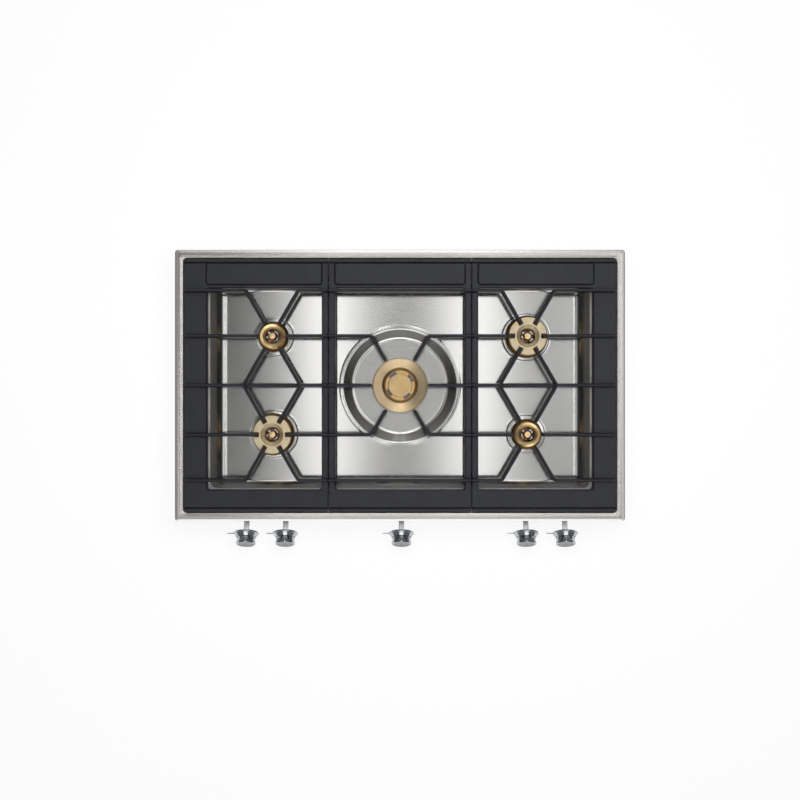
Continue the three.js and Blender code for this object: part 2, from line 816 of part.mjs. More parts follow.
function feedPipe(knobX, burner) {
  const foot = footOf(burner.kind);
  const start = new THREE.Vector3(knobX, valveEnd, pipeHeight);
  const corner = new THREE.Vector3(knobX, burner.y, pipeHeight);
  const under = new THREE.Vector3(burner.x, burner.y, pipeHeight);
  const top = new THREE.Vector3(burner.x, burner.y, foot - seat - injectorHeight + 1);
  const path = new THREE.CurvePath();
  const rise = top.z - pipeHeight;
  const bend = Math.min(pipeBend, rise * 0.7);
  if (Math.abs(burner.x - knobX) > 2 * pipeBend) {
    const side = Math.sign(burner.x - knobX);
    const before = corner.clone().add(new THREE.Vector3(0, -pipeBend, 0));
    const after = corner.clone().add(new THREE.Vector3(side * pipeBend, 0, 0));
    const last = under.clone().add(new THREE.Vector3(-side * bend, 0, 0));
    path.add(new THREE.LineCurve3(start, before));
    path.add(new THREE.QuadraticBezierCurve3(before, corner, after));
    path.add(new THREE.LineCurve3(after, last));
    path.add(new THREE.QuadraticBezierCurve3(last, under, top));
  } else {
    const slant = under.clone().add(new THREE.Vector3(0, -bend, 0));
    const before = new THREE.Vector3(knobX, burner.y - 4 * pipeBend, pipeHeight);
    const middle = before.clone().lerp(slant, 0.5);
    const reach = new THREE.Vector3(0, pipeBend, 0);
    path.add(new THREE.LineCurve3(start, before));
    path.add(new THREE.QuadraticBezierCurve3(before, before.clone().add(reach), middle));
    path.add(new THREE.QuadraticBezierCurve3(middle, slant.clone().sub(reach), slant));
    path.add(new THREE.QuadraticBezierCurve3(slant, under, top));
  }
  const section = new THREE.Shape().absarc(0, 0, pipeRadius, 0, 2 * Math.PI);
  const geometry = new THREE.ExtrudeGeometry(section, {
    steps: 16,
    curveSegments: 4,
    extrudePath: path,
  });
  const injector = disc(injectorRadius, foot - seat - injectorHeight, foot - seat, burner.x, burner.y, 6);
  return solid(geometry).add(injector);
}

function manifold() {
  const left = knobPlaces[0] - manifoldOverhang;
  const right = railHalfLength;
  const low = manifoldTop - manifoldSide;
  const y = manifoldMiddle;
  const z = manifoldTop - manifoldSide / 2;
  const nut = [right + inletGap, right + inletGap + inletNut];
  const radius = manifoldSide / 2;
  return joined([
    block([left, right], manifoldY, [low, manifoldTop]),
    rod(radius - cut, [right - inletNut / 2, y, z], [nut[1] + inletNut / 2, y, z]),
    rod(radius + cut, [nut[0], y, z], [nut[1], y, z], 6),
  ]);
}

// ---------- valves and knobs ----------

// The knob's own frame: its Z runs along the spindle to the front, its origin on the rosette's rear.
function knobFrame(x) {
  const group = new THREE.Group();
  group.position.set(x, knobY, knobZ);
  group.rotation.x = Math.PI / 2 - knobTilt;
  cooktop.add(group);
  return group;
}

function inKnobFrame(x, body) {
  const group = knobFrame(x);
  group.updateMatrixWorld();
  const geometry = geometryOf(body).applyMatrix4(group.matrixWorld);
  cooktop.remove(group);
  return solid(geometry);
}

function valveRail() {
  const front = [
    [-boxHalfDepth, railTop], [railTopFront, railTop], [railFront, railSlopeFoot],
    [railFront, railBottom], [-boxHalfDepth, railBottom],
  ];
  const innerTop = railTop - railSheet;
  const innerBottom = railBottom + railSheet;
  const innerSlope = railSlopeFoot - railSheet * Math.tan(knobTilt / 2);
  const slopeRun = (innerTop - innerSlope) * Math.tan(knobTilt);
  const inside = [
    [-boxHalfDepth + cut, innerTop], [railFront + railSheet + slopeRun, innerTop],
    [railFront + railSheet, innerSlope], [railFront + railSheet, innerBottom],
    [-boxHalfDepth + cut, innerBottom],
  ];
  const body = along(front, railHalfLength).subtract(along(inside, railHalfLength + cut));
  const reach = railSheet + 4 * cut;
  const hole = disc(neckRadius + neckPlay, -neckLength - reach, -neckLength + reach);
  const holes = knobPlaces.map((x) => inKnobFrame(x, hole));
  return without(body, holes);
}

// A section in the YZ plane, run along X.
function along(section, half) {
  const shape = new THREE.Shape(section.map(([y, z]) => new THREE.Vector2(y, z)));
  const geometry = new THREE.ExtrudeGeometry(shape, { depth: 2 * half, bevelEnabled: false });
  geometry.applyMatrix4(new THREE.Matrix4().makeBasis(
    new THREE.Vector3(0, 1, 0), new THREE.Vector3(0, 0, 1), new THREE.Vector3(1, 0, 0)));
  geometry.translate(-half, 0, 0);
  return solid(geometry);
}

function valveBody(x) {
  const plugFront = valveFront - valveWall + cut;
  const barrel = joined([
    disc(valveRadius, valveBack, valveFront, 0, 0, 16),
    disc(neckRadius, valveFront - cut, -seat, 0, 0, 12),
  ]);
  const hollow = joined([
    disc(spindleBore, plugFront - cut, cut, 0, 0, 12),
    disc(plugRadius + seat, valveBack + valveWall, plugFront, 0, 0, 12),
  ]);
  const start = [x, -boxHalfDepth - outletStart, pipeHeight];
  const outlet = rod(outletRadius, start, [x, valveEnd - seat, pipeHeight], 12);
  const inletTop = pipeHeight + pipeRadius;
  const inlet = disc(inletRadius, manifoldTop + seat, inletTop, x, manifoldMiddle, 8);
  return inKnobFrame(x, barrel).add(outlet).add(inlet).subtract(inKnobFrame(x, hollow));
}

function spindle() {
  const plugFront = valveFront - valveWall - seat;
  return joined([
    disc(spindleRadius, plugFront - cut, spindleTip, 0, 0, 12),
    disc(plugRadius, valveBack + valveWall + seat, plugFront, 0, 0, 12),
  ]);
}

function rosette() {
  const bore = neckRadius + seat;
  const edge = rosetteRadius - edgeBreak;
  const middle = rosetteRim / 2;
  const shell = turned([
    [bore, 0], [edge, 0], [rosetteRadius, middle], [edge, rosetteRim],
    [coneMouth, coneHeight], [knobRadius + knobGap, coneHeight], [coneFoot, rosetteFloor],
    [bore, rosetteFloor],
  ], 24);
  const from = [cut - rosetteRadius, 0, middle];
  return shell.add(rod(pointerRadius, from, [-rosetteRadius - pointerLength, 0, middle], 10));
}

function knob() {
  const rear = rosetteFloor + knobTravel + knobGap;
  const edge = knobFlange - edgeBreak;
  const body = turned([
    [0, rear], [knobRadius, rear], [knobRadius, knobFlangeStart - edgeBreak],
    [knobFlange, knobFlangeStart], [knobFlange, knobLength - edgeBreak], [edge, knobLength],
    [0, knobLength],
  ], 24);
  const bore = spindleTip + knobTravel + spindlePlay;
  return body.subtract(disc(spindleBore, rear - cut, bore, 0, 0, 12));
}

// ---------- assembly ----------

addPiece("top_frame", frame(), brushedSteel);
addPiece("well_tray", well(), brushedSteel);
addPiece("seal_strip", seal(), sealFoam);
addPiece("burner_box", burnerBox(), zincSheet);
addPiece("grate_left", sideGrate(-1), castIron);
addPiece("grate_centre", centreGrate(), castIron);
addPiece("grate_right", sideGrate(1), castIron);

for (const place of clampPlaces()) {
  addPiece(`clamp_${place.name}`, clamp(place), zincSheet);
}

for (const burner of burners) {
  addPiece(`burner_base_${burner.name}`, burnerBase(burner), brass);
  addPiece(`electrode_${burner.name}`, electrode(burner), ceramic);
  addPiece(`thermocouple_${burner.name}`, thermocouple(burner), probeSteel);
  const ring = addPiece(`burner_ring_${burner.name}`, ringOf(burner.kind), brass);
  ring.position.set(burner.x, burner.y, 0);
}
addPiece("burner_cap_wok", wokCapBody(), brass);

const knobBurner = ["rear_left", "front_left", "wok", "front_right", "rear_right"];
knobPlaces.forEach((x, i) => {
  const number = i + 1;
  const burner = burners.find((one) => one.name === knobBurner[i]);
  addPiece(`valve_body_${number}`, valveBody(x), brass);
  addPiece(`feed_pipe_${number}`, feedPipe(x, burner), zincSheet);
  const group = knobFrame(x);
  addPiece(`valve_spindle_${number}`, spindle(), knobSteel, group);
  addPiece(`rosette_${number}`, rosette(), knobSteel, group);
  addPiece(`knob_${number}`, knob(), knobSteel, group);
});
addPiece("valve_rail", valveRail(), zincSheet);
addPiece("gas_manifold", manifold(), zincSheet);

const moduleBack = boxHalfDepth - moduleInset;
const moduleBlock = block([moduleLeft, moduleLeft + moduleWidth], [moduleBack - moduleDepth, moduleBack],
  [boxWall, boxWall + moduleHeight]);
addPiece("ignition_module", moduleBlock, modulePlastic);

export default cooktop;
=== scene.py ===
import bpy
import bmesh
import json
import math
from mathutils import Matrix, Vector

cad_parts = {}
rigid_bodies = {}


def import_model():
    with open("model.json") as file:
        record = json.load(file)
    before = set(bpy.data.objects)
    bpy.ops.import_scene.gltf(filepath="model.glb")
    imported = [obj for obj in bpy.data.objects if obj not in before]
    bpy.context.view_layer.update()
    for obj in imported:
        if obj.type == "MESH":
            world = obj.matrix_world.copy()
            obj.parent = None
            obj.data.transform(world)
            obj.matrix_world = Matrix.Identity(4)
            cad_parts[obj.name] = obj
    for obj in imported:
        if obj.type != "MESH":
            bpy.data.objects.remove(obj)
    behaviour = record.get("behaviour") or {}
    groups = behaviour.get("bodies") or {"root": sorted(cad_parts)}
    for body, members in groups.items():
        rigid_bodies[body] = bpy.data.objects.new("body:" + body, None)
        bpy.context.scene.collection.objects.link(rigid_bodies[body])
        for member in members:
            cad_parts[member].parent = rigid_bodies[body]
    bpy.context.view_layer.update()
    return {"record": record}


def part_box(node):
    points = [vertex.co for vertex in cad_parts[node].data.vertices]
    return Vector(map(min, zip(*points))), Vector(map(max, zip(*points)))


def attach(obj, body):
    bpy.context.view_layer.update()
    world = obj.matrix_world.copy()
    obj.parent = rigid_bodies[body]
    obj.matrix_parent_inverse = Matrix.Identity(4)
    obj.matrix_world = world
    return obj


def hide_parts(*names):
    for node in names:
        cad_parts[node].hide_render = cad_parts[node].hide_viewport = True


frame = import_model()
scene = bpy.context.scene
mm = 0.001
fullTurn = 2 * math.pi

# places that several pieces share, read from the CAD
flangeLow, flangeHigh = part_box("top_frame")
wellLow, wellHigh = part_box("well_tray")
grateLow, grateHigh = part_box("grate_left")
flangeTop = flangeHigh.z
ledgeTop = grateLow.z
ribTop = grateHigh.z


def addObject(name, data):
    item = bpy.data.objects.new(name, data)
    scene.collection.objects.link(item)
    return item


# camera: straight down, as in the photograph

camera = {
    "height": 2.4,          # above the flange's top
    "y": -0.0294,           # the point of the picture straight under the lens
    "fieldWidth": 1.6142,   # across the whole picture, at the flange's top
}


def makeCamera():
    data = bpy.data.cameras.new("topCamera")
    data.lens = data.sensor_width * camera["height"] / camera["fieldWidth"]
    scene.camera = addObject("topCamera", data)
    scene.camera.location = (0, camera["y"], flangeTop + camera["height"])


makeCamera()
print("camera placed")

# materials


def newMaterial(name, colour, metallic, roughness):
    made = bpy.data.materials.new(name)
    made.use_nodes = True
    shader = made.node_tree.nodes["Principled BSDF"]
    shader.inputs["Base Color"].default_value = (*colour, 1)
    shader.inputs["Metallic"].default_value = metallic
    shader.inputs["Roughness"].default_value = roughness
    return made, shader


def feed(made, socket, value):
    # another node's output is linked to the socket, a plain value is set on it
    if isinstance(value, bpy.types.NodeSocket):
        made.node_tree.links.new(value, socket)
    else:
        socket.default_value = value


def addNode(made, kind, *values, **settings):
    # settings go to the input or the property of that name, values to the first inputs
    node = made.node_tree.nodes.new(kind)
    for key, value in settings.items():
        if key in node.inputs.keys():
            feed(made, node.inputs[key], value)
        else:
            setattr(node, key, value)
    for socket, value in zip(node.inputs, values):
        feed(made, socket, value)
    return node


def objectPoint(made):
    return addNode(made, "ShaderNodeTexCoord").outputs["Object"]


def mathNode(made, operation, *values):
    return addNode(made, "ShaderNodeMath", *values, operation=operation).outputs[0]


def streaks(made, point, scale, detail=3.0):
    # noise drawn out along one direction: scale is cycles per metre on each axis
    mapping = addNode(made, "ShaderNodeMapping", point, Scale=scale)
    noise = addNode(made, "ShaderNodeTexNoise", mapping.outputs[0], Scale=1.0, Detail=detail, Roughness=0.6)
    return noise.outputs["Fac"]


def mapped(made, value, *levels, kind="LINEAR"):
    # levels are the low and high ends that it goes from, and those that it goes to
    return addNode(made, "ShaderNodeMapRange", value, *levels, interpolation_type=kind).outputs[0]


def shadeRange(made, factor, low, high):
    # noise lies mostly between 0.3 and 0.7
    return mapped(made, factor, 0.3, 0.7, low, high)


def split(made, vector):
    return addNode(made, "ShaderNodeSeparateXYZ", vector).outputs


def surface(made, shader, finish, cloud, marks):
    # the cloud varies the brightness, the marks vary the gloss and the height
    brightness = shadeRange(made, cloud, *finish["tone"])
    colour = addNode(made, "ShaderNodeVectorMath", finish["colour"], operation="SCALE", Scale=brightness)
    gloss = shadeRange(made, marks, *finish["roughness"])
    strength, depth = finish["bump"]
    relief = addNode(made, "ShaderNodeBump", Height=marks, Strength=strength, Distance=depth)
    feed(made, shader.inputs["Base Color"], colour.outputs[0])
    feed(made, shader.inputs["Roughness"], gloss)
    feed(made, shader.inputs["Normal"], relief.outputs[0])
    return gloss


flangeFinish = {
    "colour": (0.64, 0.62, 0.59),
    "roughness": (0.20, 0.215),
    "tone": (0.98, 1.02),
    "grain": (10.0, 500.0),      # cycles per metre along and across the brushing
    "bump": (0.5, 0.0000006),    # strength and depth
}


def flangeSteel():
    made, shader = newMaterial("flangeSteel", flangeFinish["colour"], 1, 0.35)
    point = objectPoint(made)
    slow, fast = flangeFinish["grain"]
    alongX = streaks(made, point, (slow, fast, fast))
    alongY = streaks(made, point, (fast, slow, fast))
    # the brushing turns at the mitred corners
    x, y, _ = split(made, point)
    outX = mathNode(made, "SUBTRACT", mathNode(made, "ABSOLUTE", x), flangeHigh.x)
    outY = mathNode(made, "SUBTRACT", mathNode(made, "ABSOLUTE", y), flangeHigh.y)
    side = mathNode(made, "GREATER_THAN", outX, outY)
    grain = addNode(made, "ShaderNodeMix", data_type="FLOAT", Factor=side, A=alongX, B=alongY).outputs[0]
    surface(made, shader, flangeFinish, grain, grain)
    return made


well = {
    "sheet": 1.8 * mm,
    "upstandFillet": 2.5 * mm,
    "rimHalf": (384 * mm, 207.5 * mm),
    "rimCorner": 13 * mm,
    "cornerShrink": 0.35,         # how much smaller the corners are at the floor
    "outerCorner": 8.3 * mm,
    "rimRound": 2.6 * mm,
    "wallSlope": 58,              # degrees from level, at the two sides
    "wallFillet": 20 * mm,
    "wallRun": 29.5 * mm,         # from the rim to the floor, at the two sides
    "frontRun": 14.5 * mm,
    "rearRun": 17 * mm,
    "floorDrop": 35 * mm,         # below the flange's top
    "dishRim": 116.5 * mm,
    "dishBead": (121.5 * mm, 0.3 * mm),   # radius and rise of the ring pressed round the dish
    "beadFeet": (3.5 * mm, 2 * mm),       # how far out and in it runs out
    "beadRound": 3 * mm,
    "dishDrop": 8.5 * mm,
    "dishFloor": 97 * mm,
    "dishRounds": (11 * mm, 20 * mm),     # at the wall's top and foot
    "collarRise": 4 * mm,
    "collarRun": 1.4 * mm,        # how much wider a collar is at its foot
    "collarRounds": (1.2 * mm, 1.0 * mm),
    "collarSkirt": 6 * mm,        # flat floor made together with a collar or the dish
    "collars": {"small": (38 * mm, 20 * mm), "strong": (47 * mm, 26.6 * mm)},
    "wokHole": 30.6 * mm,
}
wellFinish = {
    "colour": (0.64, 0.635, 0.62),
    "roughness": (0.13, 0.155),
    "tone": (0.98, 1.02),
    "grain": (24.0, 700.0),
    "bump": (0.4, 0.0000008),
    "wallFrom": (0.006, 0.014),  # heights above the floor between which the drawn walls turn satin
    "wallRoughness": 0.42,       # and how much rougher they are than the floor
}


def wellSteel():
    made, shader = newMaterial("wellSteel", wellFinish["colour"], 1, 0.16)
    point = objectPoint(made)
    slow, fast = wellFinish["grain"]
    grain = streaks(made, point, (slow, fast, fast))
    gloss = surface(made, shader, wellFinish, grain, grain)
    low, high = (flangeTop - well["floorDrop"] + rise for rise in wellFinish["wallFrom"])
    wall = mapped(made, split(made, point)[2], low, high, 0, wellFinish["wallRoughness"])
    feed(made, shader.inputs["Roughness"], mathNode(made, "ADD", gloss, wall))
    return made


ironFinish = {
    "colour": (0.0115, 0.0122, 0.0158),
    "tone": (0.88, 1.14),
    "roughness": (0.34, 0.48),
    "grainSize": 900.0,
    "cloudSize": 25.0,
    "bump": (0.55, 0.00012),
    "specular": 0.45,
}


def castIron():
    made, shader = newMaterial("castIron", ironFinish["colour"], 0, 0.5)
    point = objectPoint(made)
    grain = streaks(made, point, (ironFinish["grainSize"],) * 3, detail=4.0)
    cloud = streaks(made, point, (ironFinish["cloudSize"],) * 3)
    surface(made, shader, ironFinish, cloud, grain)
    feed(made, shader.inputs["Specular IOR Level"], ironFinish["specular"])
    return made


cloudTone = (0.92, 1.08)      # these on the turned and the plain finishes
cloudSize = 60                # cycles per metre
turnedBump = 0.5
plainBump = 0.3
plainSpread = 0.15            # share of the roughness, up and down


def turnedMetal(name, colour, roughness, centre, tilt=0.0, ridges=2600.0, depth=0.00001):
    # fine turning marks round an axis through centre, which leans from upright by tilt
    made, shader = newMaterial(name, colour, 1, sum(roughness) / 2)
    away = -(Matrix.Rotation(tilt, 3, "X") @ Vector(centre))
    mapping = addNode(made, "ShaderNodeMapping", objectPoint(made), Location=away, Rotation=(tilt, 0, 0))
    x, y, z = split(made, mapping.outputs[0])
    squares = mathNode(made, "ADD", mathNode(made, "MULTIPLY", x, x), mathNode(made, "MULTIPLY", y, y))
    # the marks follow the radius and the height together
    across = mathNode(made, "ADD", mathNode(made, "SQRT", squares), mathNode(made, "MULTIPLY", z, 0.7))
    noise = addNode(made, "ShaderNodeTexNoise", noise_dimensions="1D", W=across, Scale=ridges, Detail=2.0)
    cloud = streaks(made, mapping.outputs[0], (cloudSize,) * 3)
    finish = {"colour": colour, "tone": cloudTone, "roughness": roughness, "bump": (turnedBump, depth)}
    surface(made, shader, finish, cloud, noise.outputs["Fac"])
    return made


def plainFinish(name, colour, metallic, roughness, grainSize, depth=0.00003):
    # a plain surface with a slight cloud and grain
    made, shader = newMaterial(name, colour, metallic, roughness)
    grain = streaks(made, objectPoint(made), (grainSize,) * 3)
    gloss = (roughness * (1 - plainSpread), roughness * (1 + plainSpread))
    finish = {"colour": colour, "tone": cloudTone, "roughness": gloss, "bump": (plainBump, depth)}
    surface(made, shader, finish, grain, grain)
    return made


materials = {
    "flange": flangeSteel(),
    "well": wellSteel(),
    "iron": castIron(),
    "box": plainFinish("zincSheet", (0.50, 0.51, 0.52), 0.9, 0.42, 90),
    "pipe": plainFinish("drawnTube", (0.60, 0.60, 0.61), 1, 0.35, 200),
    "valve": plainFinish("machinedBrass", (0.62, 0.46, 0.25), 1, 0.35, 400),
    "ceramic": plainFinish("glazedCeramic", (0.82, 0.80, 0.75), 0, 0.25, 500),
    "probe": plainFinish("probeSteel", (0.62, 0.60, 0.58), 1, 0.25, 800),
    "spindle": plainFinish("groundSteel", (0.66, 0.66, 0.66), 1, 0.3, 600),
    "foam": plainFinish("sealFoam", (0.035, 0.035, 0.035), 0, 0.9, 1200, 0.0002),
    "module": plainFinish("mouldedPlastic", (0.05, 0.05, 0.055), 0, 0.5, 700),
    "blued": plainFinish("bluedSteel", (0.20, 0.21, 0.27), 1, 0.35, 500),
    "sleeve": plainFinish("paleEnamel", (0.86, 0.86, 0.87), 0, 0.35, 600),
    # plain dark steel, for the throat cups and for inside the knobs' marks
    "dark": plainFinish("darkSteel", (0.16, 0.13, 0.16), 1, 0.35, 900),
}
print("materials made")

# mesh helpers


def finishMesh(mesh, sharp=35):
    mesh.shade_smooth()
    mesh.set_sharp_from_angle(angle=math.radians(sharp))


def clean(bm, outward=True):
    bmesh.ops.remove_doubles(bm, verts=bm.verts, dist=1e-6)
    if outward:
        bmesh.ops.recalc_face_normals(bm, faces=bm.faces)


def makePiece(name, bm, material, outward=True):
    clean(bm, outward)
    mesh = bpy.data.meshes.new(name)
    bm.to_mesh(mesh)
    bm.free()
    finishMesh(mesh)
    mesh.materials.append(material)
    return addObject(name, mesh)


def addShells(piece, bm, sharp=35):
    # further closed shells in the same casting
    clean(bm)
    bm.from_mesh(piece.data)
    bm.to_mesh(piece.data)
    bm.free()
    finishMesh(piece.data, sharp)


def combine(piece, bm, operation="DIFFERENCE"):
    # a boolean with a second closed mesh, applied at once
    clean(bm)
    mesh = bpy.data.meshes.new("cutter")
    bm.to_mesh(mesh)
    bm.free()
    cutter = addObject("cutter", mesh)
    step = piece.modifiers.new("combine", "BOOLEAN")
    step.object = cutter
    step.operation = operation
    step.solver = "EXACT"
    graph = bpy.context.evaluated_depsgraph_get()
    result = bpy.data.meshes.new_from_object(piece.evaluated_get(graph))
    piece.modifiers.clear()
    old = piece.data
    piece.data = result
    result.name = piece.name
    bpy.data.meshes.remove(old)
    bpy.data.objects.remove(cutter)
    bpy.data.meshes.remove(mesh)
    finishMesh(result)


def paint(piece, material, inside):
    # a further material on the faces whose middle passes the test
    piece.data.materials.append(material)
    for polygon in piece.data.polygons:
        if inside(polygon.center):
            polygon.material_index = len(piece.data.materials) - 1


def place(piece, body, slotName, *nodes):
    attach(piece, body)
    if nodes:
        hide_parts(*nodes)


def filleted(corners, steps=5):
    # an outline of (across, height, radius) corners, with each corner rounded by its radius
    points = []
    for i, (a, b, radius) in enumerate(corners):
        here = Vector((a, b))
        if radius <= 0 or i in (0, len(corners) - 1):
            points.append(here)
            continue
        before = (Vector(corners[i - 1][:2]) - here).normalized()
        after = (Vector(corners[i + 1][:2]) - here).normalized()
        half = before.angle(after) / 2
        reach = radius / math.tan(half)
        middle = here + (before + after).normalized() * radius / math.sin(half)
        start = here + before * reach - middle
        end = here + after * reach - middle
        turn = start.angle_signed(end)
        for k in range(steps + 1):
            points.append(middle + Matrix.Rotation(-turn * k / steps, 2) @ start)
    return points


def spun(bm, geom, centre, angle, steps):
    # about an upright axis; a full turn closes on itself
    return bmesh.ops.spin(bm, geom=geom, cent=(centre[0], centre[1], 0), axis=(0, 0, 1), dvec=(0, 0, 0),
                          angle=angle, steps=steps, use_merge=angle == fullTurn, use_duplicate=False)


def lathe(bm, profile, steps, x=0.0, y=0.0, closed=False):
    # spins (radius, height) points round an upright axis
    verts = [bm.verts.new((x + r, y, z)) for r, z in profile]
    edges = [bm.edges.new(pair) for pair in zip(verts, verts[1:])]
    if closed:
        edges.append(bm.edges.new((verts[-1], verts[0])))
    spun(bm, verts + edges, (x, y), fullTurn, steps)
    bmesh.ops.remove_doubles(bm, verts=bm.verts, dist=1e-7)


def cuboid(bm, low, high):
    verts = bmesh.ops.create_cube(bm, size=1)["verts"]
    bmesh.ops.scale(bm, vec=Vector(high) - Vector(low), verts=verts)
    bmesh.ops.translate(bm, vec=(Vector(high) + Vector(low)) / 2, verts=verts)
    return verts


def only(kind, items):
    return [item for item in items if isinstance(item, kind)]


def roundedTube(bm, outlines, steps=8):
    # a wall that follows rounded rectangles one after the other, each (low, high, corner radius, height)
    low, high, radius, z = outlines[0]
    older = set(bm.faces)
    verts = bmesh.ops.create_grid(bm, x_segments=1, y_segments=1, size=0.5)["verts"]
    bmesh.ops.scale(bm, vec=(high[0] - low[0], high[1] - low[1], 1), verts=verts)
    middle = ((high[0] + low[0]) / 2, (high[1] + low[1]) / 2, z)
    bmesh.ops.translate(bm, vec=middle, verts=verts)
    bmesh.ops.bevel(bm, geom=verts, offset=radius, offset_type="OFFSET", segments=steps,
                    profile=0.5, affect="VERTICES", material=-1)
    face = [item for item in bm.faces if item not in older][0]
    edges = list(face.edges)
    firstEdges = edges
    bmesh.ops.delete(bm, geom=[face], context="FACES_ONLY")
    for was, now in zip(outlines, outlines[1:]):
        made = bmesh.ops.extrude_edge_only(bm, edges=edges)["geom"]
        edges = only(bmesh.types.BMEdge, made)
        middle = (Vector(was[0]) + Vector(was[1])) / 2
        for vert in only(bmesh.types.BMVert, made):
            hands = (vert.co.x > middle.x, vert.co.y > middle.y)
            old = cornerMiddle(was, *hands)
            vert.co = cornerMiddle(now, *hands) + (vert.co - old) * now[2] / was[2]
    return firstEdges, edges


def shrunk(low, high, inset, corner, z):
    # an outline for roundedTube, inset on every side
    return (low[0] + inset, low[1] + inset), (high[0] - inset, high[1] - inset), corner, z


def cornerMiddle(outline, right, rear):
    low, high, radius, z = outline
    x = high[0] - radius if right else low[0] + radius
    y = high[1] - radius if rear else low[1] + radius
    return Vector((x, y, z))


# flange

flange = {
    "edge": 0.5 * mm,
    "outerCorner": 5 * mm,
    "innerCorner": 8 * mm,
    "width": 16.5 * mm,
}


def makeFlange():
    bm = bmesh.new()
    low, high, edge, width = flangeLow, flangeHigh, flange["edge"], flange["width"]
    section = [
        (0, low.z), (0, high.z - edge), (0.3 * edge, high.z - 0.3 * edge), (edge, high.z),
        (width - 2 * edge, high.z), (width - 0.6 * edge, high.z - 0.6 * edge),
        (width, high.z - 2 * edge), (width, low.z),
    ]
    outlines = []
    for inset, z in section + section[:1]:
        share = inset / width
        corner = flange["outerCorner"] * (1 - share) + flange["innerCorner"] * share
        outlines.append(shrunk(low, high, inset, corner, z))
    roundedTube(bm, outlines)
    place(makePiece("flangeFrame", bm, materials["flange"]), "root", "flange_steel", "top_frame")


makeFlange()
print("flange made")

# well

burnerKinds = {
    "rear_left": "small", "front_left": "strong", "wok": "wok",
    "rear_right": "strong", "front_right": "small",
}
burnerPlaces = {name: sum(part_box("burner_base_" + name), Vector()) / 2 for name in burnerKinds}
floorTop = flangeTop - well["floorDrop"]
dishTop = floorTop - well["dishDrop"]


def openEdge(bm, spot, radius):
    # the edges of the open circle that a spun part leaves at a radius
    return [edge for edge in bm.edges if edge.is_boundary
            and all(abs((vert.co - spot).length - radius) < 1e-5 for vert in edge.verts)]


def wellInset(depthIn, run):
    # how far in a side lies where the left and right sides lie depthIn in
    if depthIn >= well["wallRun"]:
        return run + depthIn - well["wallRun"]
    return max(depthIn, 0) * run / well["wallRun"]


def makeWell():
    bm = bmesh.new()
    rimX, rimY = well["rimHalf"]
    side = wellHigh.x - well["sheet"] - rimX       # the ledge's width
    rearLedge = wellHigh.y - well["sheet"] - rimY
    steep = math.tan(math.radians(well["wallSlope"]))
    foot = (ledgeTop - floorTop) / steep
    outline = filleted([
        (-side, wellHigh.z, 0), (-side, ledgeTop, well["upstandFillet"]),
        (0, ledgeTop, well["rimRound"]), (foot, floorTop, well["wallFillet"]),
        (well["wallRun"] + 3 * mm, floorTop, 0),
    ], steps=7)
    outlines = []
    for depthIn, z in outline:
        share = min(max(depthIn, 0) / well["wallRun"], 1)
        outside = max(-depthIn, 0)
        grow = outside * rearLedge / side
        low = (depthIn - rimX, -rimY + wellInset(depthIn, well["frontRun"]) - grow)
        high = (rimX - depthIn, rimY - wellInset(depthIn, well["rearRun"]) + grow)
        corner = well["rimCorner"] * (1 - well["cornerShrink"] * share)
        if outside:
            corner += (well["outerCorner"] - corner) * outside / side
        outlines.append((low, high, corner, z))
    openings = [roundedTube(bm, outlines, steps=10)[1]]

    beadRadius, beadRise = well["dishBead"]
    beadOut, beadIn = well["beadFeet"]
    dishEdge = beadRadius + well["collarSkirt"]
    dish = filleted([
        (dishEdge, floorTop, 0), (beadRadius + beadOut, floorTop, well["beadRound"]),
        (beadRadius, floorTop + beadRise, well["beadRound"]), (beadRadius - beadIn, floorTop, beadIn),
        (well["dishRim"], floorTop, well["dishRounds"][0]),
        (well["dishFloor"], dishTop, well["dishRounds"][1]), (well["wokHole"] + 3 * mm, dishTop, 0),
        (well["wokHole"], dishTop, 0),
    ])
    lathe(bm, dish, 128)
    openings.append(openEdge(bm, Vector((0, 0, floorTop)), dishEdge))
    for name, kind in burnerKinds.items():
        if kind == "wok":
            continue
        x, y = burnerPlaces[name].xy
        radius, hole = well["collars"][kind]
        top = floorTop + well["collarRise"]
        skirt = radius + well["collarSkirt"]
        footRound, topRound = well["collarRounds"]
        collar = filleted([
            (skirt, floorTop, 0), (radius + well["collarRun"], floorTop, footRound),
            (radius, top, topRound), (hole + mm, top, 0), (hole, top, 0),
        ])
        lathe(bm, collar, 72, x, y)
        openings.append(openEdge(bm, Vector((x, y, floorTop)), skirt))
    edges = [edge for opening in openings for edge in opening]
    bmesh.ops.triangle_fill(bm, use_beauty=True, use_dissolve=False, edges=edges)
    clean(bm)
    lowest = min(bm.faces, key=lambda face: face.calc_center_median().z)
    if lowest.normal.z < 0:
        bmesh.ops.reverse_faces(bm, faces=bm.faces)
    piece = makePiece("wellPressing", bm, materials["well"], outward=False)
    thick = piece.modifiers.new("sheet", "SOLIDIFY")
    thick.thickness = well["sheet"]
    place(piece, "root", "well_steel", "well_tray")


makeWell()
print("well made")

# grates

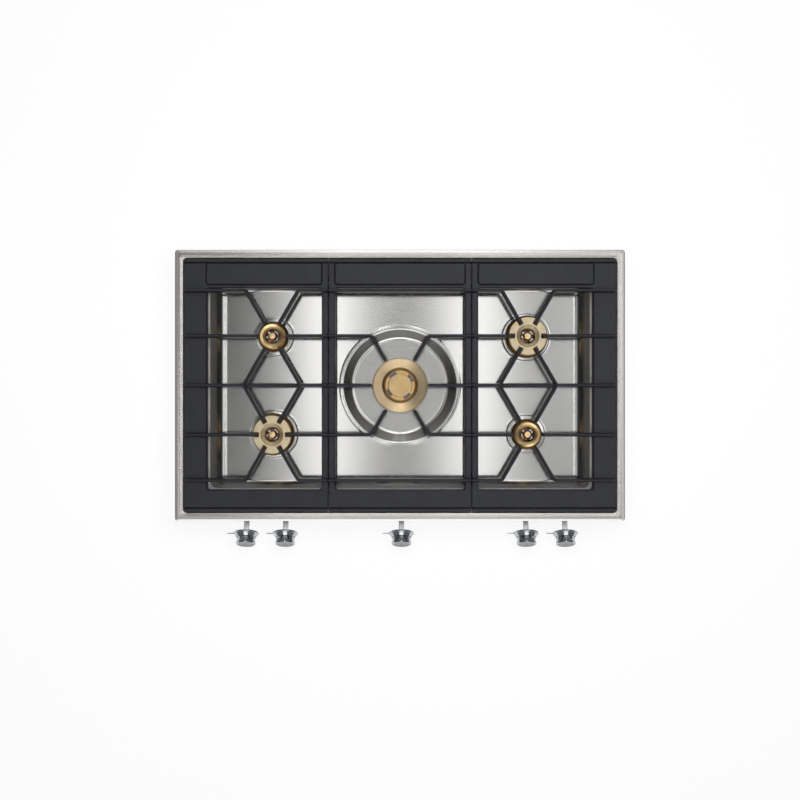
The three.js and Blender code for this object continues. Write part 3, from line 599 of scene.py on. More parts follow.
grate = {
    "ringTop": 128 * mm,
    "bandShell": 5 * mm,
    "plateCorner": 3 * mm,
    "windowCorner": 6 * mm,
    "windowChamfer": 1.6 * mm,
    "windowDraft": 0.8 * mm,
    "edgeRound": 1.0 * mm,
    "edgeStrip": 0.6 * mm,
    "outerBand": 45.5 * mm,
    "rearBand": 58.6 * mm,
    "panelGap": 7.8 * mm,         # from the window to the raised panel
    "frontBand": 43.3 * mm,
    "rail": 12 * mm,
    "panelRise": 2 * mm,
    "panelEdge": 1.4 * mm,
    "panelCorner": 4.5 * mm,
    "panelGroove": (2.2 * mm, 3.4 * mm),     # width and depth of the groove round it
    "lip": 5.5 * mm,
    "groove": 3.6 * mm,
    "grooveDepth": 3.8 * mm,
    "grooveFoot": 0.04,           # the foot's width as a share of the width at the cutter's top
    "jointReach": 0.7 * mm,       # how far each casting reaches into the joint between two
    "row": 190 * mm,
    "bendRadius": 9 * mm,
    "fingerAngle": math.radians(60),
    "cornerTip": 31.2 * mm,
    "wokTip": 61.2 * mm,
    "crossBarDrop": 9 * mm,
    "ribDepth": 18 * mm,
    "ribOutline": (            # half the section: out from the middle, down from the top
        (0, 0), (0.8, 0.08), (1.6, 0.5), (2.2, 1.3), (2.7, 3.0), (3.4, 8.0), (3.9, 13.5), (4.2, 18),
    ),
}


def ribHalf(top, low):
    # the half section between two heights, with the rounded ridge kept
    points = [(u * mm, top - d * mm) for u, d in grate["ribOutline"]]
    kept = [point for point in points if point[1] > low]
    return kept + [(points[-1][0], low)]


def domeEnd(bm, half, spot, heading):
    # half a turn of the section round the end of a rib
    across = heading.orthogonal()
    verts = [bm.verts.new((*(spot + across * u), z)) for u, z in half]
    verts.append(bm.verts.new((*spot, half[-1][1])))
    edges = [bm.edges.new(pair) for pair in zip(verts, verts[1:])]
    spun(bm, verts + edges, spot, math.pi, 10)


def sweepRib(bm, half, path, roundFirst=True, roundLast=True):
    # pushes the section along a path in plan, with an arc at each bend
    spots = [Vector(point) for point in path]
    across = (spots[1] - spots[0]).normalized().orthogonal()
    section = [(-u, z) for u, z in reversed(half)] + list(half[1:])
    verts = [bm.verts.new((*(spots[0] + across * u), z)) for u, z in section]
    face = bm.faces.new(verts)
    first = face
    current = spots[0]
    for i in range(1, len(spots)):
        heading = (spots[i] - spots[i - 1]).normalized()
        target = spots[i]
        turn = 0
        if i + 1 < len(spots):
            after = (spots[i + 1] - spots[i]).normalized()
            turn = heading.angle_signed(after)
            target = spots[i] - heading * grate["bendRadius"] * math.tan(abs(turn) / 2)
        made = bmesh.ops.extrude_face_region(bm, geom=[face], use_keep_orig=face is first)
        face = only(bmesh.types.BMFace, made["geom"])[0]
        step = target - current
        bmesh.ops.translate(bm, vec=(step.x, step.y, 0), verts=list(face.verts))
        current = target
        if turn:
            hand = -1 if turn > 0 else 1
            side = heading.orthogonal() * hand
            middle = current + side * grate["bendRadius"]
            geom = [face] + list(face.edges) + list(face.verts)
            face = only(bmesh.types.BMFace, spun(bm, geom, middle, -turn, 6)["geom_last"])[0]
            current = middle - Matrix.Rotation(-turn, 2) @ side * grate["bendRadius"]
    ends = ((roundFirst, first, spots[0], spots[1]), (roundLast, face, spots[-1], spots[-2]))
    for rounded, lid, spot, inward in ends:
        if rounded:
            bmesh.ops.delete(bm, geom=[lid], context="FACES_ONLY")
            domeEnd(bm, half, spot, (inward - spot).normalized())


def plateRing(bm, low, high, window):
    # the plates and rails round the window, hollow underneath
    top, bottom, shell = grate["ringTop"], ledgeTop, grate["bandShell"]
    edge, chamfer, corner = grate["edgeRound"], grate["windowChamfer"], grate["windowCorner"]

    def outer(inset, z):
        return shrunk(low, high, inset, grate["plateCorner"] - min(inset, 2 * mm), z)

    def inner(outset, z):
        return shrunk(*window, -outset, corner + outset, z)

    strip = grate["edgeStrip"]
    roundedTube(bm, [
        outer(shell, bottom), outer(0, bottom), outer(0, top - edge),
        outer(0.3 * edge, top - 0.3 * edge), outer(edge, top), outer(edge + strip, top),
        inner(chamfer + strip, top), inner(chamfer, top), inner(0.3 * chamfer, top - 0.45 * chamfer),
        inner(0, top - 1.6 * chamfer), inner(-grate["windowDraft"], bottom), inner(shell, bottom),
        inner(shell, top - shell), outer(shell, top - shell), outer(shell, bottom),
    ])


def panelLoop(low, high, inset, z):
    return shrunk(low, high, inset, grate["panelCorner"] - min(inset, 0), z)


def raisedPanel(bm, low, high):
    edge, rise, top = grate["panelEdge"], grate["panelRise"], grate["ringTop"]
    steps = (
        (0, -4 * mm), (0, rise - edge), (0.3 * edge, rise - 0.3 * edge), (edge, rise),
        (edge + 0.5 * mm, rise),
    )
    bottom, lid = roundedTube(bm, [panelLoop(low, high, inset, top + z) for inset, z in steps])
    bmesh.ops.contextual_create(bm, geom=bottom)
    bmesh.ops.contextual_create(bm, geom=lid)


def panelGroove(bm, low, high):
    width, depth = grate["panelGroove"]
    top = grate["ringTop"]
    rim = 2.6 * mm      # the slanted side goes on above the plate
    outside = -width * (1 + rim / depth)
    steps = ((outside, rim), (0.4 * mm, -depth), (0.4 * mm, rim), (outside, rim))
    roundedTube(bm, [panelLoop(low, high, inset, top + z) for inset, z in steps])


def onFinger(centre, radius, turnX, turnY):
    angle = grate["fingerAngle"]
    return (centre[0] + turnX * radius * math.cos(angle), centre[1] + turnY * radius * math.sin(angle))


def sideRibs(bm, side, low, high):
    half = ribHalf(ribTop, ribTop - grate["ribDepth"])
    burnerX = abs(burnerPlaces["rear_right"].x) * side
    burnerY = abs(burnerPlaces["rear_right"].y)
    slope = math.tan(grate["fingerAngle"])
    bend = (grate["row"] - burnerY) / slope
    vertex = burnerY / slope
    inner = min(abs(low[0]), abs(high[0])) * side
    outerEnd = (max(abs(low[0]), abs(high[0])) - grate["ribOutline"][-1][0] * mm) * side
    tip = grate["cornerTip"]
    for away in (-1, 1):
        outward = away == side
        end = outerEnd if outward else inner
        for hand in (-1, 1):
            centre = (burnerX, hand * burnerY)
            outTip = onFinger(centre, tip, away, hand)
            inTip = onFinger(centre, tip, away, -hand)
            bendSpot = (burnerX + away * bend, hand * grate["row"])
            vertexSpot = (burnerX + away * vertex, 0)
            sweepRib(bm, half, [(end, hand * grate["row"]), bendSpot, outTip], outward)
            sweepRib(bm, half, [(end, hand * burnerY), (burnerX + away * tip, hand * burnerY)], outward)
            if hand > 0:
                sweepRib(bm, half, [(end, 0), vertexSpot, inTip], outward)
            else:
                sweepRib(bm, half, [vertexSpot, inTip])
    cross = ribHalf(ribTop - grate["crossBarDrop"], ribTop - grate["ribDepth"])
    sweepRib(bm, cross, [(burnerX - vertex, 0), (burnerX + vertex, 0)], False, False)


def centreRibs(bm, edge):
    half = ribHalf(ribTop, ribTop - grate["ribDepth"])
    burnerY = abs(burnerPlaces["rear_right"].y)
    bend = burnerY / math.tan(grate["fingerAngle"])
    for hand in (-1, 1):
        sweepRib(bm, half, [(-edge, hand * grate["row"]), (edge, hand * grate["row"])], False, False)
        sweepRib(bm, half, [(hand * edge, 0), (hand * grate["wokTip"], 0)], False)
        row = hand * burnerY
        for away in (-1, 1):
            tip = onFinger((0, 0), grate["wokTip"], away, hand)
            sweepRib(bm, half, [(away * edge, row), (away * bend, row), tip], False)


def veeCutter(bm, ends, y):
    # a long bar with a slanted side to each hand, for the groove beside the lip
    top, depth = grate["ringTop"], grate["grooveDepth"]
    rim = 4 * mm        # the sides go on above the plate, so that the cut is clean
    half = grate["groove"] / 2 * (1 + rim / depth)
    for vert in cuboid(bm, (ends[0], y - half, top - depth), (ends[1], y + half, top + rim)):
        if vert.co.z < top:
            vert.co.y = y + (vert.co.y - y) * grate["grooveFoot"]


def makeGrate(node, side):
    low, high = (list(corner.xy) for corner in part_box(node))
    leftEdge = grate["outerBand"] if side < 0 else grate["rail"]
    rightEdge = grate["outerBand"] if side > 0 else grate["rail"]
    window = (
        (low[0] + leftEdge, low[1] + grate["frontBand"]),
        (high[0] - rightEdge, high[1] - grate["rearBand"]),
    )
    if side >= 0:
        low[0] -= grate["jointReach"]
    if side <= 0:
        high[0] += grate["jointReach"]
    bm = bmesh.new()
    plateRing(bm, low, high, window)
    grooveEdge = grate["lip"] + grate["groove"]
    piece = makePiece(node + "Casting", bm, materials["iron"])
    panelLow = (window[0][0], window[1][1] + grate["panelGap"])
    panelHigh = (window[1][0], high[1] - grooveEdge)
    bm = bmesh.new()
    panelGroove(bm, panelLow, panelHigh)
    combine(piece, bm)
    bm = bmesh.new()
    raisedPanel(bm, panelLow, panelHigh)
    combine(piece, bm, "UNION")
    bm = bmesh.new()
    for start in (low[1] + grate["lip"], high[1] - grooveEdge):
        veeCutter(bm, (low[0] - mm, high[0] + mm), start + grate["groove"] / 2)
    combine(piece, bm)
    bm = bmesh.new()
    if side:
        sideRibs(bm, side, low, high)
    else:
        centreRibs(bm, high[0])
    addShells(piece, bm, sharp=50)
    place(piece, node, "cast_iron", node)


makeGrate("grate_left", -1)
makeGrate("grate_centre", 0)
makeGrate("grate_right", 1)
print("grates made")

# burners

brass = {
    "ringTop": 128 * mm,
    "strongTop": 132 * mm,
    "creamTone": (0.91, 0.77, 0.52),      # the strong rings
    "goldTone": (1.0, 0.72, 0.37),        # the small rings and the posts
    "bronzeTone": (0.62, 0.475, 0.29),
    "discTone": (0.78, 0.555, 0.27),
    "bodyTone": (0.46, 0.285, 0.12),
    "darkTone": (0.15, 0.13, 0.115),      # the wok burner's body, stained by heat
    "bodyRoughness": (0.30, 0.42),
    "postRoughness": (0.24, 0.34),
    "capRoughness": (0.34, 0.46),
    "steps": {"cup": 48, "plate": 96, "cap": 128, "probe": 24, "pin": 12},     # round each piece
    "strongSlots": (6, 10 * mm, 26 * mm, 56 * mm),    # how many, how wide, and the two radii
    "through": (30 * mm, 5 * mm),         # how far slots are cut under and over the ring's top
    "portWidth": 1.3 * mm,
    "portReach": (-1.6 * mm, 3 * mm),     # inwards and outwards from the ring's side
    "postReach": (7.3 * mm, 31 * mm),     # the post's radius and depth, for its own finish
    "throatFloor": 31.6 * mm,             # below the ring's top
    "cupOpening": (7.9 * mm, 16 * mm, 5.6 * mm),      # from and to what radius, and how wide
    "cupOpeningTop": 9 * mm,
    "cupOpenings": (0.8, 3.9),            # two more besides those for the probes
    "bracketRadii": (9.6 * mm, 12.0 * mm),
    "brackets": ((0.75, 0.42), (5.55, 0.30), (3.30, 0.22)),    # angle, and half the length
    "bracketHeights": (8 * mm, 11 * mm),  # over the throat's floor and under the ring's top
    "bluedPlateFoot": 116.6 * mm,
    "probeRadius": 2.4 * mm,
    "probePlay": 0.3 * mm,
    "probeDrill": (30 * mm, 119 * mm),
    "cornerProbes": (10.4 * mm, 2.4, 5.2),      # radius and the two angles
    "wokProbes": (26.5 * mm, math.radians(34), math.radians(214)),
    "wokSlotHalf": math.radians(17.5),
    "wokSlotRadii": (22.8 * mm, 28.9 * mm),
    "sparkPin": (0.95 * mm, 14.4 * mm),   # radius, and its start below a small ring's top
}

# radius and height of each corner of a section, and its rounding, in millimetres;
# the heights are from the ring's top
smallRingSection = (
    (13.8, -17.7, 0), (24.0, -17.7, 0.4), (25.4, -1.6, 1.0), (24.3, 0, 0.6), (23.0, -0.5, 0.6),
    (19.0, -1.6, 0.3), (18.5, -2.4, 0.3), (15.6, -3.8, 0.8), (14.0, -6.6, 1.2), (13.8, -17.7, 0),
)
strongRingSection = (
    (14, -17.7, 0), (35.6, -17.7, 0.4), (38.6, -1.4, 0.8), (37.9, 0, 0.5), (22.9, 0, 0.9),
    (21.2, -1.9, 1.0), (17.0, -3.7, 1.5), (14.4, -7.2, 1.5), (14, -17.7, 0),
)
wokRingSection = (
    (33.5, -11.7, 0), (51, -11.7, 0.5), (55.5, -1.6, 1.0), (54.7, 0, 0.6), (53.6, -0.6, 0.8),
    (36.4, -3.9, 1.6), (33.7, -5.2, 1.0), (33.5, -11.7, 0),
)
wokCapSection = (
    (0, -9.7, 0), (22.8, -9.7, 0.5), (31.4, -8.6, 0.6), (32.8, -7.2, 0.5), (32.8, -6.2, 0.4),
    (29.4, -2.2, 0.6), (24.5, -2.6, 0.3), (24.1, -1.0, 0.3), (23.2, -0.5, 0.4), (0, -0.8, 0),
)
smallBodySection = (
    (0, -70, 0), (19.4, -70, 0.6), (19.4, -40.7, 1.0), (29.6, -40.7, 0.6), (31, -38.5, 1.0),
    (31, -24.6, 1.6), (26.6, -18.6, 1.2), (25, -18, 0.3), (14, -18, 0.8), (14, -32, 1.0),
    (7.2, -32, 0.8), (6.6, -5.2, 0.3), (5.8, -4.1, 0.5), (0, -4.0, 0),
)
strongBodySection = (
    (0, -74, 0), (26, -74, 0.6), (26, -44.7, 1.0), (41.4, -44.7, 0.6), (43, -42.5, 1.0),
    (43, -25.0, 1.8), (39.4, -18.6, 1.2), (38, -18, 0.3), (14, -18, 0.8), (14, -32, 1.0),
    (7.2, -32, 0.8), (6.8, -7.4, 0.3), (6.0, -6.2, 0.5), (0, -6.1, 0),
)
wokBodySection = (
    (0, -82, 0), (30, -82, 0.6), (30, -53.2, 1.0), (46, -53.2, 1.5), (48.5, -38, 4), (49.8, -21, 1.5),
    (50, -12, 0.6), (35, -12, 0.6), (35, -28, 1.0), (19.8, -28, 1.0), (19.8, -10, 0.5), (0, -10, 0),
)
# the probes' corners above the foot
electrodeSection = ((2.4, -17, 0.5), (1.9, -15.5, 0.4), (1.5, -14.3, 0.3), (0, -14, 0))
thermocoupleSection = ((2.4, -18, 0.6), (1.5, -16, 0.4))
# two plain rings, with heights from their own underside
cupSection = (
    (7.5, 0, 0), (13.4, 0, 0), (13.4, 7, 0), (12.6, 7.4, 0), (12.4, 1.6, 0), (7.5, 1.2, 0),
)
bluedPlateSection = ((20.2, 0, 0), (30, 0, 0), (30, 1.2, 0), (20.2, 1.2, 0))

# "steps" go round the body and round the ring; "ports" are a radius, a count and two heights
# from the ring's top
brassKinds = {
    "small": {
        "top": brass["ringTop"], "body": smallBodySection, "ring": smallRingSection, "steps": (72, 96),
        "bodyTone": brass["bodyTone"], "ringTone": brass["goldTone"], "roughness": (0.20, 0.32),
        "marks": {"ridges": 1500}, "ports": (24.6 * mm, 36, -10 * mm, -6 * mm),
    },
    "strong": {
        "top": brass["strongTop"], "body": strongBodySection, "ring": strongRingSection, "steps": (72, 96),
        "bodyTone": brass["bodyTone"], "ringTone": brass["creamTone"], "roughness": (0.40, 0.52),
        "marks": {"ridges": 1500}, "ports": (37 * mm, 54, -9 * mm, -5 * mm),
    },
    "wok": {
        "top": brass["ringTop"], "body": wokBodySection, "ring": wokRingSection, "steps": (96, 128),
        "bodyTone": brass["darkTone"], "ringTone": brass["bronzeTone"], "roughness": (0.25, 0.29),
        "marks": {"depth": 0.000002}, "ports": (53.2 * mm, 72, -9 * mm, -5 * mm),
    },
}


def sectionPoints(section, top, rounds=4):
    return filleted([(r * mm, top + z * mm, rounding * mm) for r, z, rounding in section], rounds)


def spunPiece(name, section, top, spot, material, steps, rounds=4, closed=False):
    bm = bmesh.new()
    lathe(bm, sectionPoints(section, top, rounds), steps, *spot.xy, closed)
    return makePiece(name, bm, material)


def column(bm, x, y, radius, low, high, steps=24):
    verts = bmesh.ops.create_cone(bm, cap_ends=True, segments=steps, radius1=radius, radius2=radius,
                                  depth=high - low)["verts"]
    bmesh.ops.translate(bm, vec=(x, y, (low + high) / 2), verts=verts)


def radialBox(bm, spot, angle, fromRadius, toRadius, width, low, high):
    verts = cuboid(bm, (fromRadius, -width / 2, low), (toRadius, width / 2, high))
    bmesh.ops.rotate(bm, cent=(0, 0, 0), matrix=Matrix.Rotation(angle, 3, "Z"), verts=verts)
    bmesh.ops.translate(bm, vec=(spot.x, spot.y, 0), verts=verts)


def onCircle(spot, radius, angle):
    return spot.xy + radius * Vector((math.cos(angle), math.sin(angle)))


def arcBlock(bm, spot, radii, middle, half, low, high):
    inner, outer = (onCircle(spot, radius, middle - half) for radius in radii)
    corners = ((inner, low), (outer, low), (outer, high), (inner, high))
    verts = [bm.verts.new((*corner, z)) for corner, z in corners]
    face = bm.faces.new(verts)
    spun(bm, [face] + list(face.edges) + verts, spot, 2 * half, 10)
    if not face.is_valid:
        bm.faces.new(verts)


def probeSpots(name):
    radius, *angles = brass["wokProbes" if name == "wok" else "cornerProbes"]
    return [onCircle(burnerPlaces[name], radius, angle) for angle in angles]


def drillProbes(piece, name):
    bm = bmesh.new()
    for x, y in probeSpots(name):
        column(bm, x, y, brass["probeRadius"] + brass["probePlay"], *brass["probeDrill"])
    combine(piece, bm)


def gasPorts(piece, spot, top, kind):
    # the row of narrow flame ports cut round a ring's side
    radius, count, low, high = brassKinds[kind]["ports"]
    inner, outer = (radius + reach for reach in brass["portReach"])
    bm = bmesh.new()
    for i in range(count):
        angle = fullTurn * (i + 0.5) / count
        radialBox(bm, spot, angle, inner, outer, brass["portWidth"], top + low, top + high)
    combine(piece, bm)


def makeBurner(name, kind):
    # the lower body and the loose ring
    spot = burnerPlaces[name]
    axis = (*spot.xy, 0)
    look = brassKinds[kind]
    top = look["top"]
    bodySteps, ringSteps = look["steps"]
    finish = turnedMetal("bodyBrass_" + name, look["bodyTone"], brass["bodyRoughness"], axis)
    body = spunPiece("burnerBody_" + name, look["body"], top, spot, finish, bodySteps)
    drillProbes(body, name)
    if kind != "wok":
        finish = turnedMetal("postBrass_" + name, brass["goldTone"], brass["postRoughness"], axis)
        radius, depth = brass["postReach"]
        paint(body, finish, lambda p: (p.xy - spot.xy).length < radius and p.z > top - depth)
    place(body, "root", "burner_brass", "burner_base_" + name)

    finish = turnedMetal("ringBrass_" + name, look["ringTone"], look["roughness"], axis, **look["marks"])
    ring = spunPiece("burnerRing_" + name, look["ring"], top, spot, finish, ringSteps)
    if kind == "strong":
        count, width, inner, outer = brass["strongSlots"]
        under, over = brass["through"]
        bm = bmesh.new()
        for i in range(count):
            radialBox(bm, spot, fullTurn * i / count, inner, outer, width, top - under, top + over)
        combine(ring, bm)
    gasPorts(ring, spot, top, kind)
    place(ring, "ring_" + name, "burner_brass", "burner_ring_" + name)


def makeThroat(name, kind):
    # the steel cup in the throat, with openings for the air round the post
    spot = burnerPlaces[name]
    top = brassKinds[kind]["top"]
    floor = top - brass["throatFloor"]
    cup = spunPiece("throatCup_" + name, cupSection, floor, spot, materials["dark"],
                    brass["steps"]["cup"], closed=True)
    bm = bmesh.new()
    for angle in brass["cornerProbes"][1:] + brass["cupOpenings"]:
        radialBox(bm, spot, angle, *brass["cupOpening"], floor - mm, floor + brass["cupOpeningTop"])
    combine(cup, bm)
    place(cup, "root", "probe_steel")

    # the bent steel brackets that hold the probes
    bm = bmesh.new()
    over, under = brass["bracketHeights"]
    for angle, half in brass["brackets"]:
        arcBlock(bm, spot, brass["bracketRadii"], angle, half, floor + over, top - under)
    brackets = makePiece("probeBrackets_" + name, bm, materials["probe"])
    drillProbes(brackets, name)
    place(brackets, "root", "probe_steel")


def makeWokCap():
    spot = burnerPlaces["wok"]
    axis = (*spot.xy, 0)
    top = brass["ringTop"]
    finish = turnedMetal("capBrass", brass["discTone"], brass["capRoughness"], axis, ridges=1200)
    cap = spunPiece("burnerCap_wok", wokCapSection, top, spot, finish, brass["steps"]["cap"])
    under, over = brass["through"]
    bm = bmesh.new()
    for i in range(4):
        middle = brass["wokProbes"][1] + i * fullTurn / 4
        arcBlock(bm, spot, brass["wokSlotRadii"], middle, brass["wokSlotHalf"], top - under, top + over)
    combine(cap, bm)
    place(cap, "wok_cap", "burner_brass", "burner_cap_wok")

    # the blued plate that shows through the slots
    plate = spunPiece("bluedPlate_wok", bluedPlateSection, brass["bluedPlateFoot"], spot,
                      materials["blued"], brass["steps"]["plate"], closed=True)
    drillProbes(plate, "wok")
    place(plate, "root", "probe_steel")


def makeProbes(name):
    # the ceramic spark electrode and the steel thermocouple that stand in each burner
    top = brass["ringTop"]
    radius = brass["probeRadius"] / mm
    steps = brass["steps"]["probe"]
    sparkSpot, heatSpot = probeSpots(name)
    low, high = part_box("electrode_" + name)
    foot = (low.z - top) / mm
    section = ((0, foot, 0), (radius, foot, 0.3), *electrodeSection)
    piece = spunPiece("electrodeCeramic_" + name, section, top, sparkSpot, materials["ceramic"], steps, 3)
    pinRadius, pinDrop = brass["sparkPin"]
    bm = bmesh.new()
    column(bm, *sparkSpot, pinRadius, top - pinDrop, high.z, brass["steps"]["pin"])
    addShells(piece, bm)
    reach, bare = pinRadius + 0.05 * mm, top - pinDrop + 0.2 * mm
    paint(piece, materials["probe"], lambda p: (p.xy - sparkSpot).length < reach and p.z > bare)
    place(piece, "root", "probe_ceramic", "electrode_" + name)

    foot, tip = ((corner.z - top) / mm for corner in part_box("thermocouple_" + name))
    section = ((0, foot, 0), (radius, foot, 0.3), *thermocoupleSection, (1.5, tip - 0.2, 0.9), (0, tip, 0))
    piece = spunPiece("thermocouplePin_" + name, section, top, heatSpot, materials["probe"], steps)
    place(piece, "root", "probe_steel", "thermocouple_" + name)


for burnerName, burnerKind in burnerKinds.items():
    if burnerKind != "wok":
        makeBurner(burnerName, burnerKind)
        makeThroat(burnerName, burnerKind)
    makeProbes(burnerName)
makeBurner("wok", "wok")
makeWokCap()
print("burners made")

# knobs

knob = {
    "places": (-318 * mm, -237 * mm, 3 * mm, 261 * mm, 342 * mm),
    "y": -304 * mm,
    "z": 56 * mm,
    "tilt": math.radians(68),     # from upright to the knob's axis
    "steel": (0.48, 0.50, 0.54),
    "roughness": (0.08, 0.12),
    # the front face's colour is painted shade: the knob's steel darkened where the face turns away from the
    # light
    "shadedFaceSteel": (0.20, 0.205, 0.22),
    "faceRoughness": (0.24, 0.34),
    # two radii, the start and the end from the axis, and the height along it
    "pointer": (1.25 * mm, 1.0 * mm, 25.0 * mm, 39.5 * mm, 1.5 * mm),
    "face": (17 * mm, 24.5 * mm),         # radius and height
    "marks": ((-16 * mm, -12.5 * mm), (12.5 * mm, 16 * mm)),
    "markHalf": 0.7 * mm,
    "markDepth": 0.5 * mm,
    "hubRadius": 1.7 * mm,
    "steps": 96,
}

# sections in millimetres along each knob's own axis
rosetteSection = (
    (5.3, 0, 0), (25.6, 0, 0.4), (26.5, 1.2, 0.9), (25.9, 3.0, 0.5), (24.9, 3.6, 0.6), (20.7, 9.9, 0.5),
    (20.3, 10.5, 0.2), (19.7, 10.4, 0.2), (23.0, 2.6, 0.6), (5.3, 2.6, 0),
)
knobSection = (
    (0, 19.2, 0), (3.4, 19.2, 0), (3.4, 7, 0), (18.6, 7, 0.4), (19.2, 7.8, 0.5), (19.2, 18.6, 0.8),
    (20.3, 20.2, 0.6), (20.3, 24.6, 0.6), (19.4, 25.3, 0.5), (17.7, 25.1, 0.3), (17.3, 24.5, 0.3),
    (0, 24.5, 0),
)
sleeveSection = (
    (5.03, -34.6, 0), (5.6, -34.6, 0.2), (5.6, -0.5, 0.2), (5.03, -0.5, 0), (5.03, -34.6, 0),
)


def lathedOn(matrix, section, closed=True):
    bm = bmesh.new()
    lathe(bm, sectionPoints(section, 0), knob["steps"], closed=closed)
    bmesh.ops.transform(bm, matrix=matrix, verts=bm.verts)
    return bm


def makeKnob(number, x):
    centre = (x, knob["y"], knob["z"])
    matrix = Matrix.Translation(centre) @ Matrix.Rotation(knob["tilt"], 4, "X")
    steel = turnedMetal(f"knobSteel_{number}", knob["steel"], knob["roughness"], centre,
                        tilt=-knob["tilt"], ridges=1400, depth=0.000002)
    shadedFaceSteel = turnedMetal(f"knobShadedFace_{number}", knob["shadedFaceSteel"], knob["faceRoughness"], centre,
                            tilt=-knob["tilt"], ridges=1800)
    rosette = makePiece(f"rosetteCone_{number}", lathedOn(matrix, rosetteSection), steel)
    root, tip, near, far, height = knob["pointer"]
    bm = bmesh.new()
    verts = bmesh.ops.create_cone(bm, cap_ends=True, segments=20, radius1=root, radius2=tip,
                                  depth=far - near)["verts"]
    lay = Matrix.Translation((-(near + far) / 2, 0, height)) @ Matrix.Rotation(-math.pi / 2, 4, "Y")
    bmesh.ops.transform(bm, matrix=matrix @ lay, verts=verts)
    addShells(rosette, bm)
    place(rosette, "root", "knob_steel", f"rosette_{number}")

    sleeve = makePiece(f"neckSleeve_{number}", lathedOn(matrix, sleeveSection), materials["sleeve"])
    place(sleeve, "root", "knob_steel")

    turnKnob = makePiece(f"turnKnob_{number}", lathedOn(matrix, knobSection, closed=False), steel)
    reach, top = knob["face"]
    depth, half = knob["markDepth"], knob["markHalf"]
    bm = bmesh.new()
    for low, high in knob["marks"]:
        cuboid(bm, (low, -half, top - depth), (high, half, top + 2 * mm))
    column(bm, 0, 0, knob["hubRadius"], top - depth, top + depth)
    bmesh.ops.transform(bm, matrix=matrix, verts=bm.verts)
    combine(turnKnob, bm)
    back = matrix.inverted()

    def onFace(centre, below):
        spot = back @ centre
        return spot.xy.length < reach and top - 2 * depth < spot.z < below

    # brushed, with painted shade on the front face, which is darker than the knob's own steel, and dark
    # inside the marks
    paint(turnKnob, shadedFaceSteel, lambda p: onFace(p, top + depth))
    paint(turnKnob, materials["dark"], lambda p: onFace(p, top - 0.02 * mm))
    place(turnKnob, f"knob_{number}", "knob_steel", f"knob_{number}")


for i, knobX in enumerate(knob["places"], 1):
    makeKnob(i, knobX)
print("knobs made")

# stage: a white floor, a large lamp above, and soft boxes that the metal mirrors

stage = {
    "floorSize": 6.0,
    "floorColour": 0.80,
    "shadowShare": 0.10,       # how much of the floor's own shading the picture keeps
    "skyLevel": 0.045,         # the surroundings to the sides
    "skyFrontRear": 0.45,      # and what is added to the front and rear
    # soft boxes in the surroundings: the way to each (x and y over height), its half size,
    # its soft edge and its strength
    "panels": (
        ((-0.060, 0.25), (0.020, 0.50), (0.006, 0.35), 3.1),
        ((0.062, 0.25), (0.020, 0.50), (0.006, 0.35), 3.0),
        ((0.165, 0.0), (0.04, 0.40), (0.02, 0.10), 0.55),
        ((-0.245, -0.06), (0.035, 0.08), (0.02, 0.02), 1.7),
        ((-0.15, -0.165), (0.06, 0.02), (0.02, 0.02), 1.5),
        ((0.23, 0.10), (0.035, 0.12), (0.02, 0.02), 2.2),
        ((0.44, 0.0), (0.15, 0.45), (0.08, 0.10), 0.9),
        ((-0.44, 0.0), (0.15, 0.45), (0.08, 0.10), 0.40),
        ((0.0, 0.46), (0.22, 0.13), (0.10, 0.08), 1.1),
        ((0.0, -0.52), (0.36, 0.14), (0.05, 0.08), 2.0),
    ),
    "lampPlace": (0.1, 0.25, 1.6),
    "lampSize": (0.9, 0.7),
    "lampPower": 31,
}


def makeFloor():
    grey = stage["floorColour"]
    made, shader = newMaterial("paleFloor", (grey, grey, grey), 0, 0.9)
    glow = addNode(made, "ShaderNodeEmission")
    rays = addNode(made, "ShaderNodeLightPath").outputs
    seen = mathNode(made, "MAXIMUM", rays["Is Camera Ray"], rays["Is Glossy Ray"])
    seen = mathNode(made, "MAXIMUM", seen, rays["Is Transmission Ray"])
    share = mathNode(made, "MULTIPLY", seen, 1 - stage["shadowShare"])
    mix = addNode(made, "ShaderNodeMixShader", share, shader.outputs[0], glow.outputs[0])
    feed(made, made.node_tree.nodes["Material Output"].inputs["Surface"], mix.outputs[0])
    bm = bmesh.new()
    bmesh.ops.create_grid(bm, x_segments=1, y_segments=1, size=stage["floorSize"] / 2)
    makePiece("paleFloor", bm, made, outward=False)


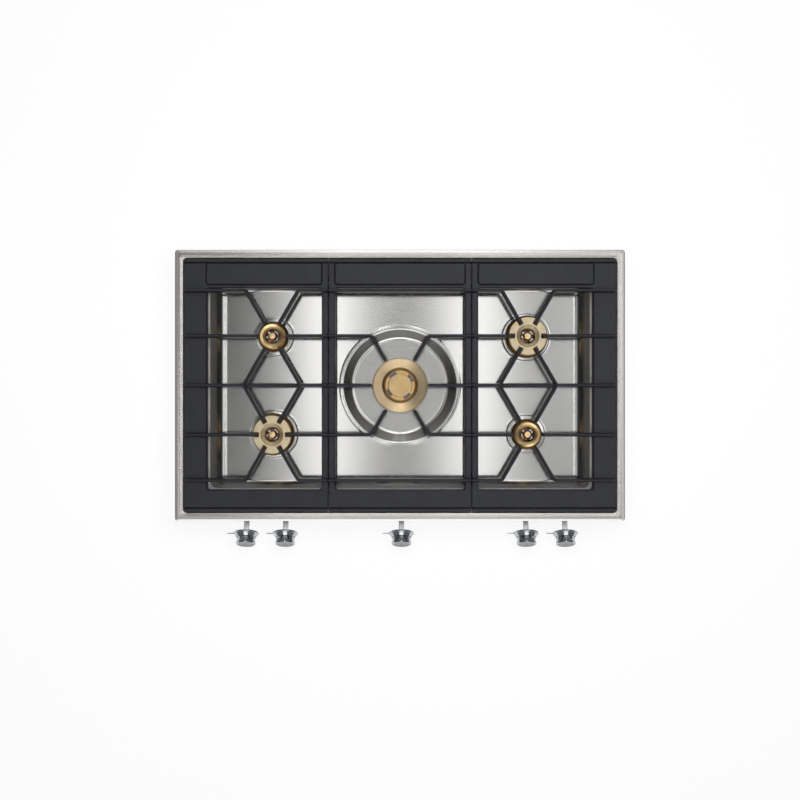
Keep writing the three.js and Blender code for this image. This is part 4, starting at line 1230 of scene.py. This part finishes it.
def softPanel(world, across, along, panel):
    # one bright panel in the surroundings, fading out over its soft edge
    middles, halves, edges, strength = panel
    level = None
    for way, middle, half, soft in zip((across, along), middles, halves, edges):
        offset = mathNode(world, "ABSOLUTE", mathNode(world, "SUBTRACT", way, middle))
        fade = mapped(world, offset, half - soft, half + soft, 1, 0, kind="SMOOTHSTEP")
        level = fade if level is None else mathNode(world, "MULTIPLY", level, fade)
    return mathNode(world, "MULTIPLY", level, strength)


def makeWorld():
    world = bpy.data.worlds.new("studio")
    world.use_nodes = True
    back = world.node_tree.nodes["Background"]
    back.inputs["Color"].default_value = (1, 1, 1, 1)
    x, y, z = split(world, addNode(world, "ShaderNodeTexCoord").outputs["Generated"])
    height = mathNode(world, "MAXIMUM", z, 0.02)
    across = mathNode(world, "DIVIDE", x, height)
    along = mathNode(world, "DIVIDE", y, height)
    level = mathNode(world, "MULTIPLY", mathNode(world, "MULTIPLY", y, y), stage["skyFrontRear"])
    total = mathNode(world, "ADD", level, stage["skyLevel"])
    for panel in stage["panels"]:
        total = mathNode(world, "ADD", total, softPanel(world, across, along, panel))
    # the camera sees plain white behind the floor
    seen = addNode(world, "ShaderNodeLightPath").outputs["Is Camera Ray"]
    feed(world, back.inputs["Strength"], mathNode(world, "MAXIMUM", total, seen))
    scene.world = world


def makeLamp():
    data = bpy.data.lights.new("overheadLamp", "AREA")
    data.shape = "RECTANGLE"
    data.size, data.size_y = stage["lampSize"]
    data.energy = stage["lampPower"]
    item = addObject("overheadLamp", data)
    item.location = stage["lampPlace"]
    item.visible_camera = False
    item.visible_glossy = False      # the bright panels are what metal mirrors


makeFloor()
makeWorld()
makeLamp()
print("stage made")

# the CAD pieces that keep their own shape

keptFinishes = {        # the record's material slots and the finishes above
    "box_steel": "box", "pipe_metal": "pipe", "valve_brass": "valve", "spindle_steel": "spindle",
    "seal_foam": "foam", "module_plastic": "module",
}


def dressKept():
    for part in frame["record"]["subparts"]:
        finish = keptFinishes.get(part["material_slot"])
        if finish:
            mesh = bpy.data.objects[part["node"]].data
            mesh.materials.clear()
            mesh.materials.append(materials[finish])


dressKept()
print("kept pieces dressed")

scene.view_settings.view_transform = "Standard"
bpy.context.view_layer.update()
